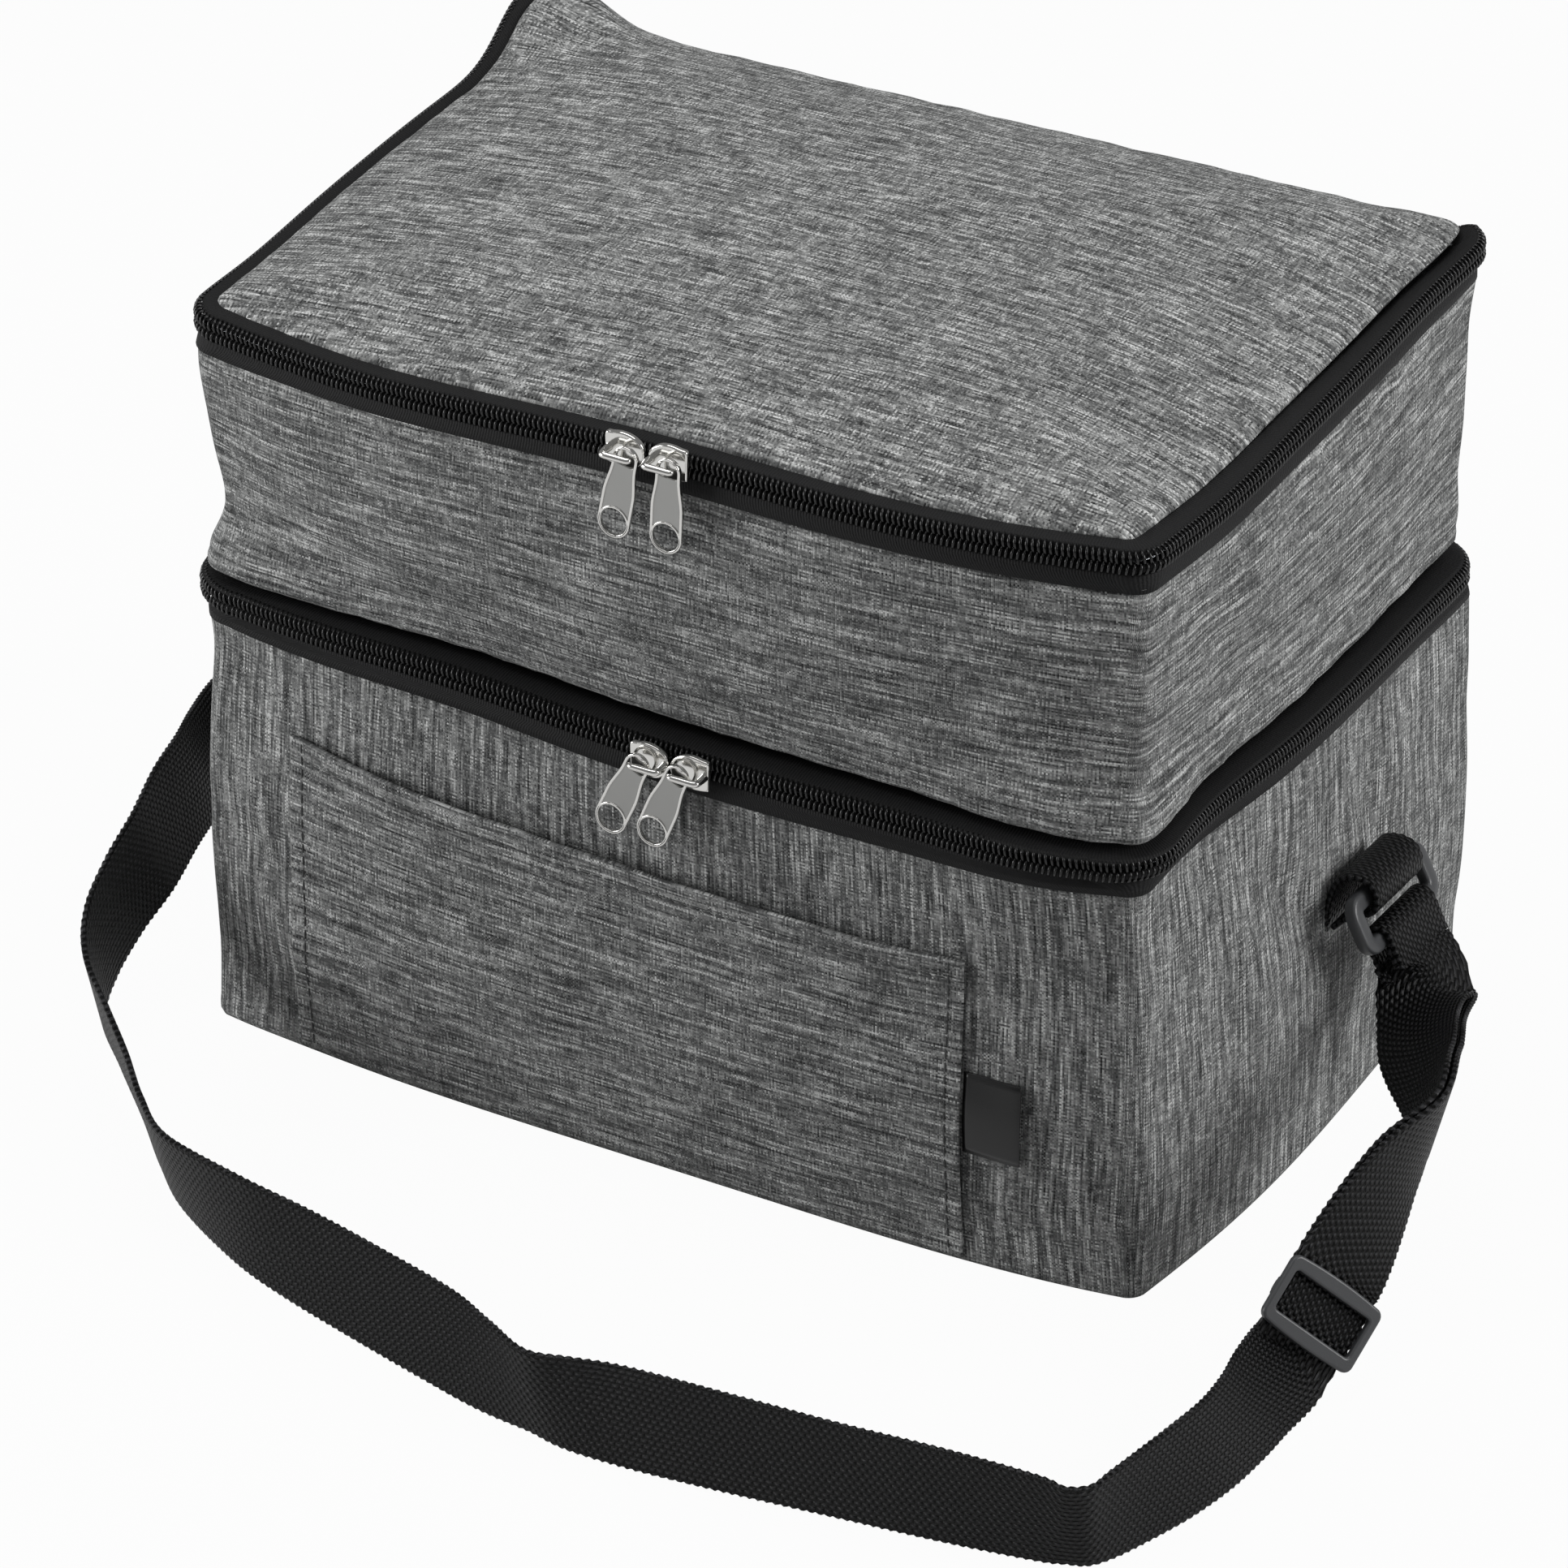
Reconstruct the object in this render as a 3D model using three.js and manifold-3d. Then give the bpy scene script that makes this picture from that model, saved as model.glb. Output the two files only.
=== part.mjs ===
// Two-stage soft cooler bag on a shoulder strap.
// Millimetres, +Z up, the front faces -Y, the origin is on the floor under the middle of the bag.
import * as THREE from "three";
import { mergeVertices } from "three/addons/utils/BufferGeometryUtils.js";
import Module from "manifold-3d";

const wasm = await Module();
wasm.setup();

// Plan of the bag, measured at the zips.
const BODY_WIDTH = 270;
const BODY_DEPTH = 178; // from corner to corner, without the belly of the front
const CORNER_RADIUS = 9;
const INNER_CORNER = 5; // least corner radius of an inner layer
const FRONT_BOW = 11; // belly of the front between its corners
const POCKET_BOW = 5.5; // belly of the wall behind the pocket's mouth
const SIDE_BOW = 3;
const FRONT_STEPS = 8;
const SIDE_STEPS = 4;
const CORNER_STEPS = 3;

// Heights of the two zips, and of the lid over its rim.
const LOWER_ZIP_Z = 123.5;
const UPPER_ZIP_Z = 209.5;
const LID_CROWN = 11;

// Layers of a wall, from the outside in, and the seam gap between pieces.
const FABRIC = 1.2;
const FOAM = 5;
const LINER = 0.8;
const GAP = 0.3;

// How far the walls stand out of (or in from) the zip line.
const LOWER_TUCK = 1.5; // in, at the bottom seam
const LOWER_SWELL = 1; // out, half way up the lower wall
const UPPER_TUCK = 6; // in, where the upper stage sits on the lower zip
const UPPER_SWELL = 0.5; // out, high on the upper wall

// Zips: two coil rows on tapes, running round the front and both sides.
const ROW_HEIGHT = 3;
const ROW_SPLIT = 0.3;
const COIL_PROUD = 1.2; // each side of the tape line
const TAPE = 1;
const TAPE_DROP = 7; // upright tape below the coils
const LOWER_LEDGE = 9; // flat tape above the lower zip
const UPPER_RIM = 10.3; // flat tape left bare round the lid
const TAPE_TUCK = 3; // tape hidden under the lid panel
const ZIP_RETURN = 30; // how far each zip runs along the back

// Cloth hinges along the back.
const LEAF = 1;
const LEAF_HEIGHT = 22;
const HINGE_CLEAR = 0.4; // clear of the hinge plane on each side

// Front slip pocket and the label in its side seam.
const POCKET_FROM_LEFT = 28;
const POCKET_FROM_RIGHT = 44;
const POCKET_TOP = 87.5;
const POCKET_GAPE = 6.5; // mouth's gap in the middle
const LABEL_WIDTH = 15.5;
const LABEL_LOW = 34.5;
const LABEL_HEIGHT = 23;
const LABEL = 0.8;

// Zip sliders with hook bails, and their flat pullers.
const SLIDER_LENGTH = 11;
const SLIDER_HEIGHT = 9.4;
const SLIDER_PLATE = 1.6;
const HOOK_AXIS = 4.2; // bail's centre line, out from the plate
const HOOK_BAR = 1.8;
const HOOK_LEG = -4.4; // closed end of the bail
const HOOK_TIP = 3.6; // free end of the bail
const PULLER_LENGTH = 26.5;
const PULLER_NECK = 6.9;
const PULLER_WIDTH = 9;
const PULLER_THICK = 1.2;
const PULLER_TOP = 2.75; // eye's end above the bail's centre line
const PULLER_SHIFT = 1.85; // puller's middle from the slider's middle
const EYE_BAR = 1.1;
const EYE_DEPTH = 4.05;
const HOLE_RIM = 0.8;

// Strap, its tabs, rings and adjuster.
const WEBBING_WIDTH = 25;
const WEBBING = 1.6;
const TAB_Y = 14;
const TAB_LOW = 48;
const TAB_BASE = 3.4; // two layers of webbing
const TAB_OUT = 10.7; // ring's upper bar, out from the wall
const TAB_BAR_Z = 73;
const RING_BAR = 4.6;
const RING_SPAN = 12; // between the two long bars
const RING_SIDE_GAP = 2.8;
const RING_CORNER = 3;
const RING_LEAN = 26; // degrees out from upright
const LOOP_LEG = 9;
const GLIDE_OUT = 57.7; // adjuster's middle, out from the side of the bag
const GLIDE_Y = -101.5;
const GLIDE_Z = 21.2;
const GLIDE_TURN = 12; // degrees, strap's heading at the adjuster: to the right of straight back
const GLIDE_RISE = 40; // degrees, up from level
const GLIDE_ROLL = 60; // degrees, right edge down from level
const GLIDE_LENGTH = 19.2;
const GLIDE_BAR = 3.8;
const GLIDE_SIDE = 1.9;
const GLIDE_CORNER = 2; // cut off each corner
const GLIDE_SIDE_GAP = 0.4;
const GLIDE_FRAME = 2.2;
const GLIDE_CROSSBAR = 4;
const GLIDE_CROSS_THICK = 1.6;
const GLIDE_REACH = 17.5; // half of the strap's straight stretch
const GLIDE_EASE = 1.5; // end of that stretch, where the strap starts to turn
const RETURN_START = 12; // doubled layer begins this far past the adjuster's middle
const PLY_GAP = 0.8; // between the doubled layers

// Strap's course in three runs. Each row: where it is, then the way to its upper (or back) edge.
// Left fall: out from the left side, y, z.
const LEFT_FALL = [
  [34, 9, 50, -0.45, 0.75, 0.4],
  [37.5, 1, 44.5, -0.75, 0.4, 0.5],
  [39.5, -11, 41.5, -0.7, 0.2, 0.7],
  [38, -26, 41.5, -0.55, 0.1, 0.85],
  [33.5, -40, 43.5, -0.5, 0, 0.87],
  [28, -55, 46, -0.45, 0, 0.9],
  [23.5, -72, 46.3, -0.42, -0.1, 0.9],
  [20.2, -90, 43.8, -0.35, -0.15, 0.92],
  [17.5, -106, 39.5, -0.25, -0.2, 0.95],
  [13, -122, 34, -0.15, -0.25, 0.95],
  [4, -134, 29, 0, -0.3, 0.95],
  [-6, -145, 24, 0, -0.3, 0.95],
  [-17, -155, 19, -0.05, -0.28, 1],
  [-29, -166, 15, -0.1, -0.25, 1],
];
// Front run: x, ahead of the front, z.
const FRONT_RUN = [
  [-92, 77, 13.2, -0.1, -0.2, 1],
  [-66, 88, 13.4, 0, 0.07, 1],
  [-45, 93.5, 13, 0.1, 0.25, 0.97],
  [-22, 99.5, 12.8, 0.1, 0.33, 0.95],
  [4, 106.7, 12.8, 0.1, 0.32, 0.95],
  [21, 113, 13.2, 0, 0.15, 1],
  [36, 117.6, 13.4, 0, -0.08, 1],
  [47, 117.3, 13.2, 0, 0.12, 1],
  [58, 115.4, 12.8, 0, 0.3, 0.95],
  [72, 114, 12.7, 0, 0.34, 0.94],
  [96, 112, 13, 0, 0.25, 0.97],
  [121, 109.5, 13.2, 0, 0.16, 1],
  [146, 106.5, 13.3, 0, 0.12, 1],
];
// Right fold up to the adjuster, then from the adjuster to the ring: out from the right side, y, z.
const RIGHT_FOLD = [
  [36, -203.7, 13.4, 0, -0.03, 1],
  [43, -203, 13.3, 0.05, -0.15, 1],
  [48, -200, 13.3, 0.07, -0.08, 1],
  [50.5, -193.4, 13.4, -0.03, 0, 1],
  [53, -183, 13.3, -0.13, 0.03, 1],
  [56, -168, 13.1, -0.25, 0.05, 0.97],
  [57.8, -154, 13, -0.32, -0.05, 0.94],
  [57.5, -140, 12.7, -0.4, -0.18, 0.9],
  [56, -126, 12.2, -0.5, -0.32, 0.8],
];
const RIGHT_RISE = [
  [62, -64, 42.5, -0.4, -0.43, 0.82],
  [64.5, -45, 48, 0.12, -0.34, 0.9],
  [56, -27, 46.5, 0.42, -0.2, 0.85],
  [43.5, -10, 44.8, 0.65, 0.4, 0.6],
  [34, 4, 44.8, 0.4, 0.85, 0.3],
  [28.5, 11.5, 47, 0.1, 1, 0.08],
];

const FINISH = {
  fabric: { color: "#7a7b7a", roughness: 0.92, metalness: 0 },
  foam: { color: "#d8d8d4", roughness: 0.95, metalness: 0 },
  foil: { color: "#c9ccd0", roughness: 0.35, metalness: 0.7 },
  tape: { color: "#161617", roughness: 0.85, metalness: 0 },
  coil: { color: "#1c1c1e", roughness: 0.4, metalness: 0 },
  nickel: { color: "#d6d5d0", roughness: 0.2, metalness: 1 },
  webbing: { color: "#19191b", roughness: 0.8, metalness: 0 },
  plastic: { color: "#26272a", roughness: 0.45, metalness: 0 },
  satin: { color: "#121214", roughness: 0.3, metalness: 0 },
};

const REAR = BODY_DEPTH / 2;
const HALF_WIDTH = BODY_WIDTH / 2;
const FRONT = BODY_DEPTH / 2 + FRONT_BOW;
const ZIP_END_X = HALF_WIDTH - ZIP_RETURN;
const FRONT_FLAT = HALF_WIDTH - CORNER_RADIUS;
const FOAM_LAYER = FABRIC + GAP;
const LINER_LAYER = FOAM_LAYER + FOAM + GAP;

const group = new THREE.Group();
group.name = "cooler_bag";

function add(name, geometry, finish) {
  const mesh = new THREE.Mesh(geometry, new THREE.MeshStandardMaterial(FINISH[finish]));
  mesh.name = name;
  group.add(mesh);
}

const bowShare = (u) => 1 - u ** 4;

// Plan outline of a layer, counter-clockwise from the middle of the back.
function outline({ layer = 0, swell = 0, back = layer, bow = FRONT_BOW }) {
  const half = HALF_WIDTH - layer + swell;
  const front = REAR - layer + swell;
  const rear = REAR - back;
  const radius = Math.max(CORNER_RADIUS - layer, INNER_CORNER);
  const flat = half - radius;
  const middle = (rear - front) / 2;
  const reach = (rear + front) / 2 - radius;
  const points = [];
  const put = (x, y) => points.push(new THREE.Vector2(x, y));
  const corner = (x, y, start) => {
    for (let i = 0; i <= CORNER_STEPS; i++) {
      const angle = start + (Math.PI / 2) * (i / CORNER_STEPS);
      put(x + radius * Math.cos(angle), y + radius * Math.sin(angle));
    }
  };
  const side = (sign) => {
    for (let i = 1; i < SIDE_STEPS; i++) {
      const u = sign * ((2 * i) / SIDE_STEPS - 1);
      put(sign * (half + SIDE_BOW * (1 - u * u)), middle + u * reach);
    }
  };
  put(0, rear);
  put(-ZIP_END_X, rear);
  corner(-flat, rear - radius, Math.PI / 2);
  side(-1);
  corner(-flat, radius - front, Math.PI);
  for (let i = 1; i < FRONT_STEPS; i++) {
    const u = (2 * i) / FRONT_STEPS - 1;
    put(u * flat, -front - bow * bowShare(u));
  }
  corner(flat, radius - front, Math.PI * 1.5);
  side(1);
  corner(flat, rear - radius, 0);
  put(ZIP_END_X, rear);
  return points;
}

const ringAt = (z, shape) => outline(shape).map((p) => new THREE.Vector3(p.x, p.y, z));

// Closed solid from points and triangles, turned to face outwards.
function solid(points, index) {
  let volume = 0;
  for (let i = 0; i < index.length; i += 3) {
    const [a, b, c] = [points[index[i]], points[index[i + 1]], points[index[i + 2]]];
    volume += a.dot(b.clone().cross(c));
  }
  if (volume < 0) index.reverse();
  const geometry = new THREE.BufferGeometry();
  geometry.setFromPoints(points);
  geometry.setIndex(index);
  geometry.computeVertexNormals();
  return geometry;
}

// Skin over a row of rings: closed on itself when looped, else capped at both ends.
// Faces split along the same diagonal whether the rings rise or fall, so that layers stay parallel.
function loft(rings, looped = false) {
  const n = rings[0].length;
  const index = [];
  const spans = looped ? rings.length : rings.length - 1;
  for (let i = 0; i < spans; i++) {
    const a = i * n;
    const next = (i + 1) % rings.length;
    const b = next * n;
    const falling = rings[next][0].z < rings[i][0].z;
    for (let j = 0; j < n; j++) {
      const k = (j + 1) % n;
      if (falling) index.push(a + j, a + k, b + j, a + k, b + k, b + j);
      else index.push(a + j, a + k, b + k, a + j, b + k, b + j);
    }
  }
  if (!looped) {
    const end = (rings.length - 1) * n;
    for (let j = 1; j < n - 1; j++) {
      index.push(0, j + 1, j);
      index.push(end, end + j, end + j + 1);
    }
  }
  return solid(rings.flat(), index);
}

// Solid between two grids of points with the same rows and columns.
function slab(front, back) {
  const rows = front.length;
  const columns = front[0].length;
  const at = (side, r, c) => (side * rows + r) * columns + c;
  const index = [];
  const quad = (a, b, c, d) => index.push(a, b, c, a, c, d);
  for (let r = 0; r < rows - 1; r++) {
    for (let c = 0; c < columns - 1; c++) {
      quad(at(0, r, c), at(0, r + 1, c), at(0, r + 1, c + 1), at(0, r, c + 1));
      index.push(at(1, r, c), at(1, r + 1, c + 1), at(1, r + 1, c));
      index.push(at(1, r, c), at(1, r, c + 1), at(1, r + 1, c + 1));
    }
  }
  for (let r = 0; r < rows - 1; r++) {
    const c = columns - 1;
    quad(at(0, r, 0), at(1, r, 0), at(1, r + 1, 0), at(0, r + 1, 0));
    quad(at(0, r, c), at(0, r + 1, c), at(1, r + 1, c), at(1, r, c));
  }
  for (let c = 0; c < columns - 1; c++) {
    const r = rows - 1;
    quad(at(0, 0, c), at(0, 0, c + 1), at(1, 0, c + 1), at(1, 0, c));
    quad(at(0, r, c), at(1, r, c), at(1, r, c + 1), at(0, r, c + 1));
  }
  return solid([...front.flat(), ...back.flat()], index);
}

function manifold(geometry) {
  const bare = new THREE.BufferGeometry();
  const flat = geometry.index ? geometry.toNonIndexed() : geometry;
  bare.setAttribute("position", flat.getAttribute("position"));
  const merged = mergeVertices(bare, 1e-4);
  return new wasm.Manifold(
    new wasm.Mesh({
      numProp: 3,
      vertProperties: merged.attributes.position.array,
      triVerts: new Uint32Array(merged.index.array),
    }),
  );
}

function join(...geometries) {
  const mesh = geometries.map(manifold).reduce((a, b) => a.add(b)).getMesh();
  const geometry = new THREE.BufferGeometry();
  geometry.setAttribute("position", new THREE.BufferAttribute(mesh.vertProperties, 3));
  geometry.setIndex(new THREE.BufferAttribute(mesh.triVerts, 1));
  geometry.computeVertexNormals();
  return geometry;
}

function box(x0, x1, y0, y1, z0, z1) {
  const geometry = new THREE.BoxGeometry(x1 - x0, y1 - y0, z1 - z0);
  return geometry.translate((x0 + x1) / 2, (y0 + y1) / 2, (z0 + z1) / 2);
}

// Wall's shape at a height, between its levels.
function shapeAt(levels, z) {
  const above = levels.findIndex((level) => level.z >= z);
  if (above === 0) return levels[0];
  if (above < 0) return levels[levels.length - 1];
  const [a, b] = [levels[above - 1], levels[above]];
  const t = (z - a.z) / (b.z - a.z);
  return {
    swell: a.swell + t * (b.swell - a.swell),
    bow: a.bow + t * (b.bow - a.bow),
  };
}

const stageFloor = (base) => base + FABRIC + GAP;
const foamBase = (base) => stageFloor(base) + FOAM + GAP;
const rowBase = (zip) => zip - ROW_SPLIT / 2 - ROW_HEIGHT;
const tapeBase = (zip) => rowBase(zip) - GAP - TAPE_DROP;
const wallTop = (zip) => tapeBase(zip) - GAP;
const ledgeBase = (zip) => zip + ROW_SPLIT / 2 + ROW_HEIGHT + GAP;
const aboveLedge = (zip) => ledgeBase(zip) + TAPE + GAP;

// Fabric shell, foam and liner of one stage.
function stage(name, base, zip, levels) {
  const shape = (z, layer) => {
    const { swell, bow } = shapeAt(levels, z);
    return ringAt(z, { layer, swell, bow });
  };
  const bottom = levels[0];
  const floor = stageFloor(base);
  const low = foamBase(base);
  const high = zip - HINGE_CLEAR - LINER - GAP;
  const least = Math.min(...levels.map((level) => level.bow));
  const inner = (z, layer) => {
    const { swell } = shapeAt(levels, z);
    return ringAt(z, { layer, swell, bow: least });
  };

  const under = { swell: bottom.swell, bow: bottom.bow };
  add(`${name}_base_panel`, loft([ringAt(base, under), ringAt(base + FABRIC, under)]), "fabric");

  const outside = levels.map((level) => shape(level.z, 0));
  const inside = levels.map((level) => shape(level.z, FABRIC)).reverse();
  add(`${name}_outer_wall`, loft([...outside, ...inside], true), "fabric");

  const pad = [shape(floor, FOAM_LAYER), shape(floor + FOAM, FOAM_LAYER)];
  add(`${name}_base_foam`, loft(pad), "foam");

  const stops = levels.map((level) => level.z).filter((z) => z > low && z < high);
  const rising = [low, ...stops, high].map((z) => shape(z, FOAM_LAYER));
  const facing = [high, low].map((z) => inner(z, FOAM_LAYER + FOAM));
  add(`${name}_wall_foam`, loft([...rising, ...facing], true), "foam");

  const lip = high + GAP;
  const liner = [
    inner(low + LINER, LINER_LAYER + LINER),
    inner(lip + LINER, LINER_LAYER + LINER),
    ringAt(lip + LINER, { layer: FOAM_LAYER }),
    ringAt(lip, { layer: FOAM_LAYER }),
    inner(lip, LINER_LAYER),
    inner(low, LINER_LAYER),
  ];
  add(`${name}_liner`, loft(liner), "foil");
}

// Strip round the front and sides, between two heights and two layers.
function band(low, high, outer, inner) {
  const [a, b] = [ringAt(low, { layer: outer }), ringAt(low, { layer: inner })];
  const [c, d] = [ringAt(high, { layer: inner }), ringAt(high, { layer: outer })];
  return loft(a.map((_, i) => [a[i], b[i], c[i], d[i]]).slice(1));
}

function zip(name, z, ledge) {
  const row = rowBase(z);
  const upper = z + ROW_SPLIT / 2;
  const flat = ledgeBase(z);
  add(`${name}_lower_tape`, band(tapeBase(z), row - GAP, 0, TAPE), "tape");
  add(`${name}_lower_coil`, band(row, row + ROW_HEIGHT, -COIL_PROUD, COIL_PROUD), "coil");
  add(`${name}_upper_coil`, band(upper, upper + ROW_HEIGHT, -COIL_PROUD, COIL_PROUD), "coil");
  add(`${name}_upper_tape`, band(flat, flat + TAPE, 0, ledge), "tape");
}

function leaf(name, low, high) {
  const x = ZIP_END_X - GAP;
  add(name, box(-x, x, REAR + GAP, REAR + GAP + LEAF, low, high), "fabric");
}

// Sheet lying on the front of the lower wall, standing off it by a share of the way across and up.
function frontSheet(name, x0, x1, z0, z1, thick, standOff, finish) {
  const [f0, f1] = [x0 / FRONT_FLAT, x1 / FRONT_FLAT];
  const folds = [];
  for (let i = 1; i < FRONT_STEPS; i++) folds.push((2 * i) / FRONT_STEPS - 1);
  const columns = [f0, ...folds.filter((f) => f > f0 && f < f1), f1];
  const rows = [z0, ...lowerLevels.map((l) => l.z).filter((z) => z > z0 && z < z1), z1];
  const sheet = (depth) =>
    rows.map((z) => {
      const { swell, bow } = shapeAt(lowerLevels, z);
      return columns.map((f) => {
        const off = GAP + depth + standOff((2 * (f - f0)) / (f1 - f0) - 1, (z - z0) / (z1 - z0));
        const y = -(REAR + swell + bow * bowShare(f)) - off;
        return new THREE.Vector3(f * (FRONT_FLAT + swell), y, z);
      });
    });
  add(name, slab(sheet(thick), sheet(0)), finish);
}

// Lower stage.
const lowerWallTop = wallTop(LOWER_ZIP_Z);
const lowerLevels = [
  { z: stageFloor(0), swell: -LOWER_TUCK, bow: FRONT_BOW },
  { z: foamBase(0) + GAP, swell: -LOWER_TUCK / 2, bow: FRONT_BOW },
  { z: POCKET_TOP / 2, swell: LOWER_SWELL, bow: (FRONT_BOW + POCKET_BOW) / 2 },
  { z: POCKET_TOP, swell: LOWER_SWELL, bow: POCKET_BOW },
  { z: lowerWallTop, swell: 0, bow: FRONT_BOW },
];
stage("lower", 0, LOWER_ZIP_Z, lowerLevels);
zip("lower_zip", LOWER_ZIP_Z, LOWER_LEDGE);
leaf("lower_hinge_leaf", LOWER_ZIP_Z - LEAF_HEIGHT, LOWER_ZIP_Z - HINGE_CLEAR);
const gape = (across, up) => POCKET_GAPE * Math.sqrt(up) * (1 - across ** 4);
const pocketLow = stageFloor(0) + GAP;
const pocketLeft = POCKET_FROM_LEFT - HALF_WIDTH;
const pocketRight = HALF_WIDTH - POCKET_FROM_RIGHT;
frontSheet("front_pocket", pocketLeft, pocketRight, pocketLow, POCKET_TOP, FABRIC, gape, "fabric");
const labelLeft = pocketRight + 2 * GAP;
const labelTop = LABEL_LOW + LABEL_HEIGHT;
const flush = () => 0;
frontSheet("side_label", labelLeft, labelLeft + LABEL_WIDTH, LABEL_LOW, labelTop, LABEL, flush, "satin");

// Upper stage, which is the lower stage's lid.
const upperBase = aboveLedge(LOWER_ZIP_Z);
const upperTop = wallTop(UPPER_ZIP_Z);
const upperRise = upperTop - stageFloor(upperBase);
const upperLevels = [
  { z: stageFloor(upperBase), swell: -UPPER_TUCK, bow: FRONT_BOW },
  { z: stageFloor(upperBase) + upperRise / 3, swell: -UPPER_TUCK / 3, bow: FRONT_BOW },
  { z: upperTop - upperRise / 4, swell: UPPER_SWELL, bow: FRONT_BOW },
  { z: upperTop, swell: 0, bow: FRONT_BOW },
];
stage("upper", upperBase, UPPER_ZIP_Z, upperLevels);
zip("upper_zip", UPPER_ZIP_Z, UPPER_RIM + TAPE_TUCK);
leaf("upper_base_leaf", LOWER_ZIP_Z + HINGE_CLEAR, LOWER_ZIP_Z + LEAF_HEIGHT);
leaf("upper_top_leaf", UPPER_ZIP_Z - LEAF_HEIGHT, UPPER_ZIP_Z - HINGE_CLEAR);

// Lid: crowned panel over foam and a flat liner.
const lidBase = aboveLedge(UPPER_ZIP_Z);
const lidLiner = UPPER_ZIP_Z + HINGE_CLEAR;
const lidFoam = lidLiner + LINER + GAP;
const DOME_CLEAR = 1;
const DOME_RINGS = [0, 0.08, 0.2, 0.42, 0.75];
const crown = (t) => LID_CROWN * (1 - (1 - t) ** 3);
function dome(shape, base) {
  const edge = outline(shape);
  return DOME_RINGS.map((t) =>
    edge.map((p) => new THREE.Vector3(p.x * (1 - t), p.y * (1 - t), base + crown(t))),
  );
}
const lidEdge = { layer: UPPER_RIM, back: 0 };
const lidUnder = dome(lidEdge, lidBase).reverse();
add("lid_panel", loft([...lidUnder, ...dome(lidEdge, lidBase + FABRIC)]), "fabric");
const foamEdge = { layer: UPPER_RIM + TAPE_TUCK + GAP };
const lidPad = [ringAt(lidFoam, foamEdge), ...dome(foamEdge, lidBase - DOME_CLEAR)];
add("lid_foam", loft(lidPad), "foam");
const lidSheet = { layer: FOAM_LAYER };
add("lid_liner", loft([ringAt(lidLiner, lidSheet), ringAt(lidLiner + LINER, lidSheet)]), "foil");
leaf("lid_hinge_leaf", UPPER_ZIP_Z + HINGE_CLEAR, lidBase + FABRIC);

// Slider: plate over the coils with a hook bail. Nose and hook each point left (-1) or right (+1).
const sliderBack = -(FRONT + COIL_PROUD) - GAP;
function slider(name, x, z, nose, hook) {
  const [l, h] = [SLIDER_LENGTH / 2, SLIDER_HEIGHT / 2];
  const plate = new THREE.Shape();
  plate.moveTo(-l * nose, -h * 0.7);
  plate.lineTo(-l * nose, h * 0.7);
  plate.quadraticCurveTo(-l * 0.2 * nose, h * 0.8, 0, h);
  plate.quadraticCurveTo(l * nose, h, l * nose, 0);
  plate.quadraticCurveTo(l * nose, -h, 0, -h);
  plate.quadraticCurveTo(-l * 0.2 * nose, -h * 0.8, -l * nose, -h * 0.7);
  const flat = { depth: SLIDER_PLATE, bevelEnabled: false, curveSegments: 4 };
  const body = new THREE.ExtrudeGeometry(plate, flat).rotateX(Math.PI / 2);

  const outer = -SLIDER_PLATE - HOOK_AXIS - HOOK_BAR / 2;
  const bail = new THREE.Shape();
  bail.moveTo(HOOK_LEG * hook, -SLIDER_PLATE / 2);
  bail.lineTo((HOOK_LEG + HOOK_BAR) * hook, -SLIDER_PLATE / 2);
  bail.lineTo((HOOK_LEG + HOOK_BAR) * hook, outer + HOOK_BAR);
  bail.lineTo(HOOK_TIP * hook, outer + HOOK_BAR);
  bail.lineTo(HOOK_TIP * hook, outer);
  bail.lineTo(HOOK_LEG * hook, outer);
  bail.closePath();
  const wire = new THREE.ExtrudeGeometry(bail, { depth: HOOK_BAR, bevelEnabled: false });
  wire.translate(0, 0, -HOOK_BAR / 2);
  add(name, join(body, wire).translate(x, sliderBack, z), "nickel");
}

// Puller hanging from the hook, leaning in the plane of the front by some degrees to the left.
function puller(name, x, z, hook, lean) {
  const [n, w] = [PULLER_NECK / 2, PULLER_WIDTH / 2];
  const low = PULLER_TOP - PULLER_LENGTH + w;
  const high = PULLER_TOP - n;
  const tag = new THREE.Shape();
  tag.moveTo(-n, high);
  tag.lineTo(-w, low);
  tag.absarc(0, low, w, Math.PI, 2 * Math.PI, false);
  tag.lineTo(n, high);
  tag.absarc(0, high, n, 0, Math.PI, false);
  const [e, sill] = [n - EYE_BAR, PULLER_TOP - EYE_BAR - EYE_DEPTH];
  const eye = new THREE.Path();
  eye.moveTo(-e, high);
  eye.absarc(0, high, e, Math.PI, 0, true);
  eye.lineTo(e, sill + 1);
  eye.lineTo(e - 1, sill);
  eye.lineTo(1 - e, sill);
  eye.lineTo(-e, sill + 1);
  eye.closePath();
  const hole = new THREE.Path();
  hole.absarc(0, low, w - HOLE_RIM, 0, 2 * Math.PI, true);
  tag.holes.push(eye, hole);
  const flat = { depth: PULLER_THICK, bevelEnabled: false, curveSegments: 8 };
  const geometry = new THREE.ExtrudeGeometry(tag, flat);
  geometry.rotateX(Math.PI / 2).rotateY(THREE.MathUtils.degToRad(lean));
  const clear = HOOK_BAR / Math.SQRT2 + GAP / 2;
  const back = sliderBack - SLIDER_PLATE - HOOK_AXIS + clear + PULLER_THICK;
  geometry.translate(x + PULLER_SHIFT * hook, back, z);
  add(name, geometry, "nickel");
}

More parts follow.
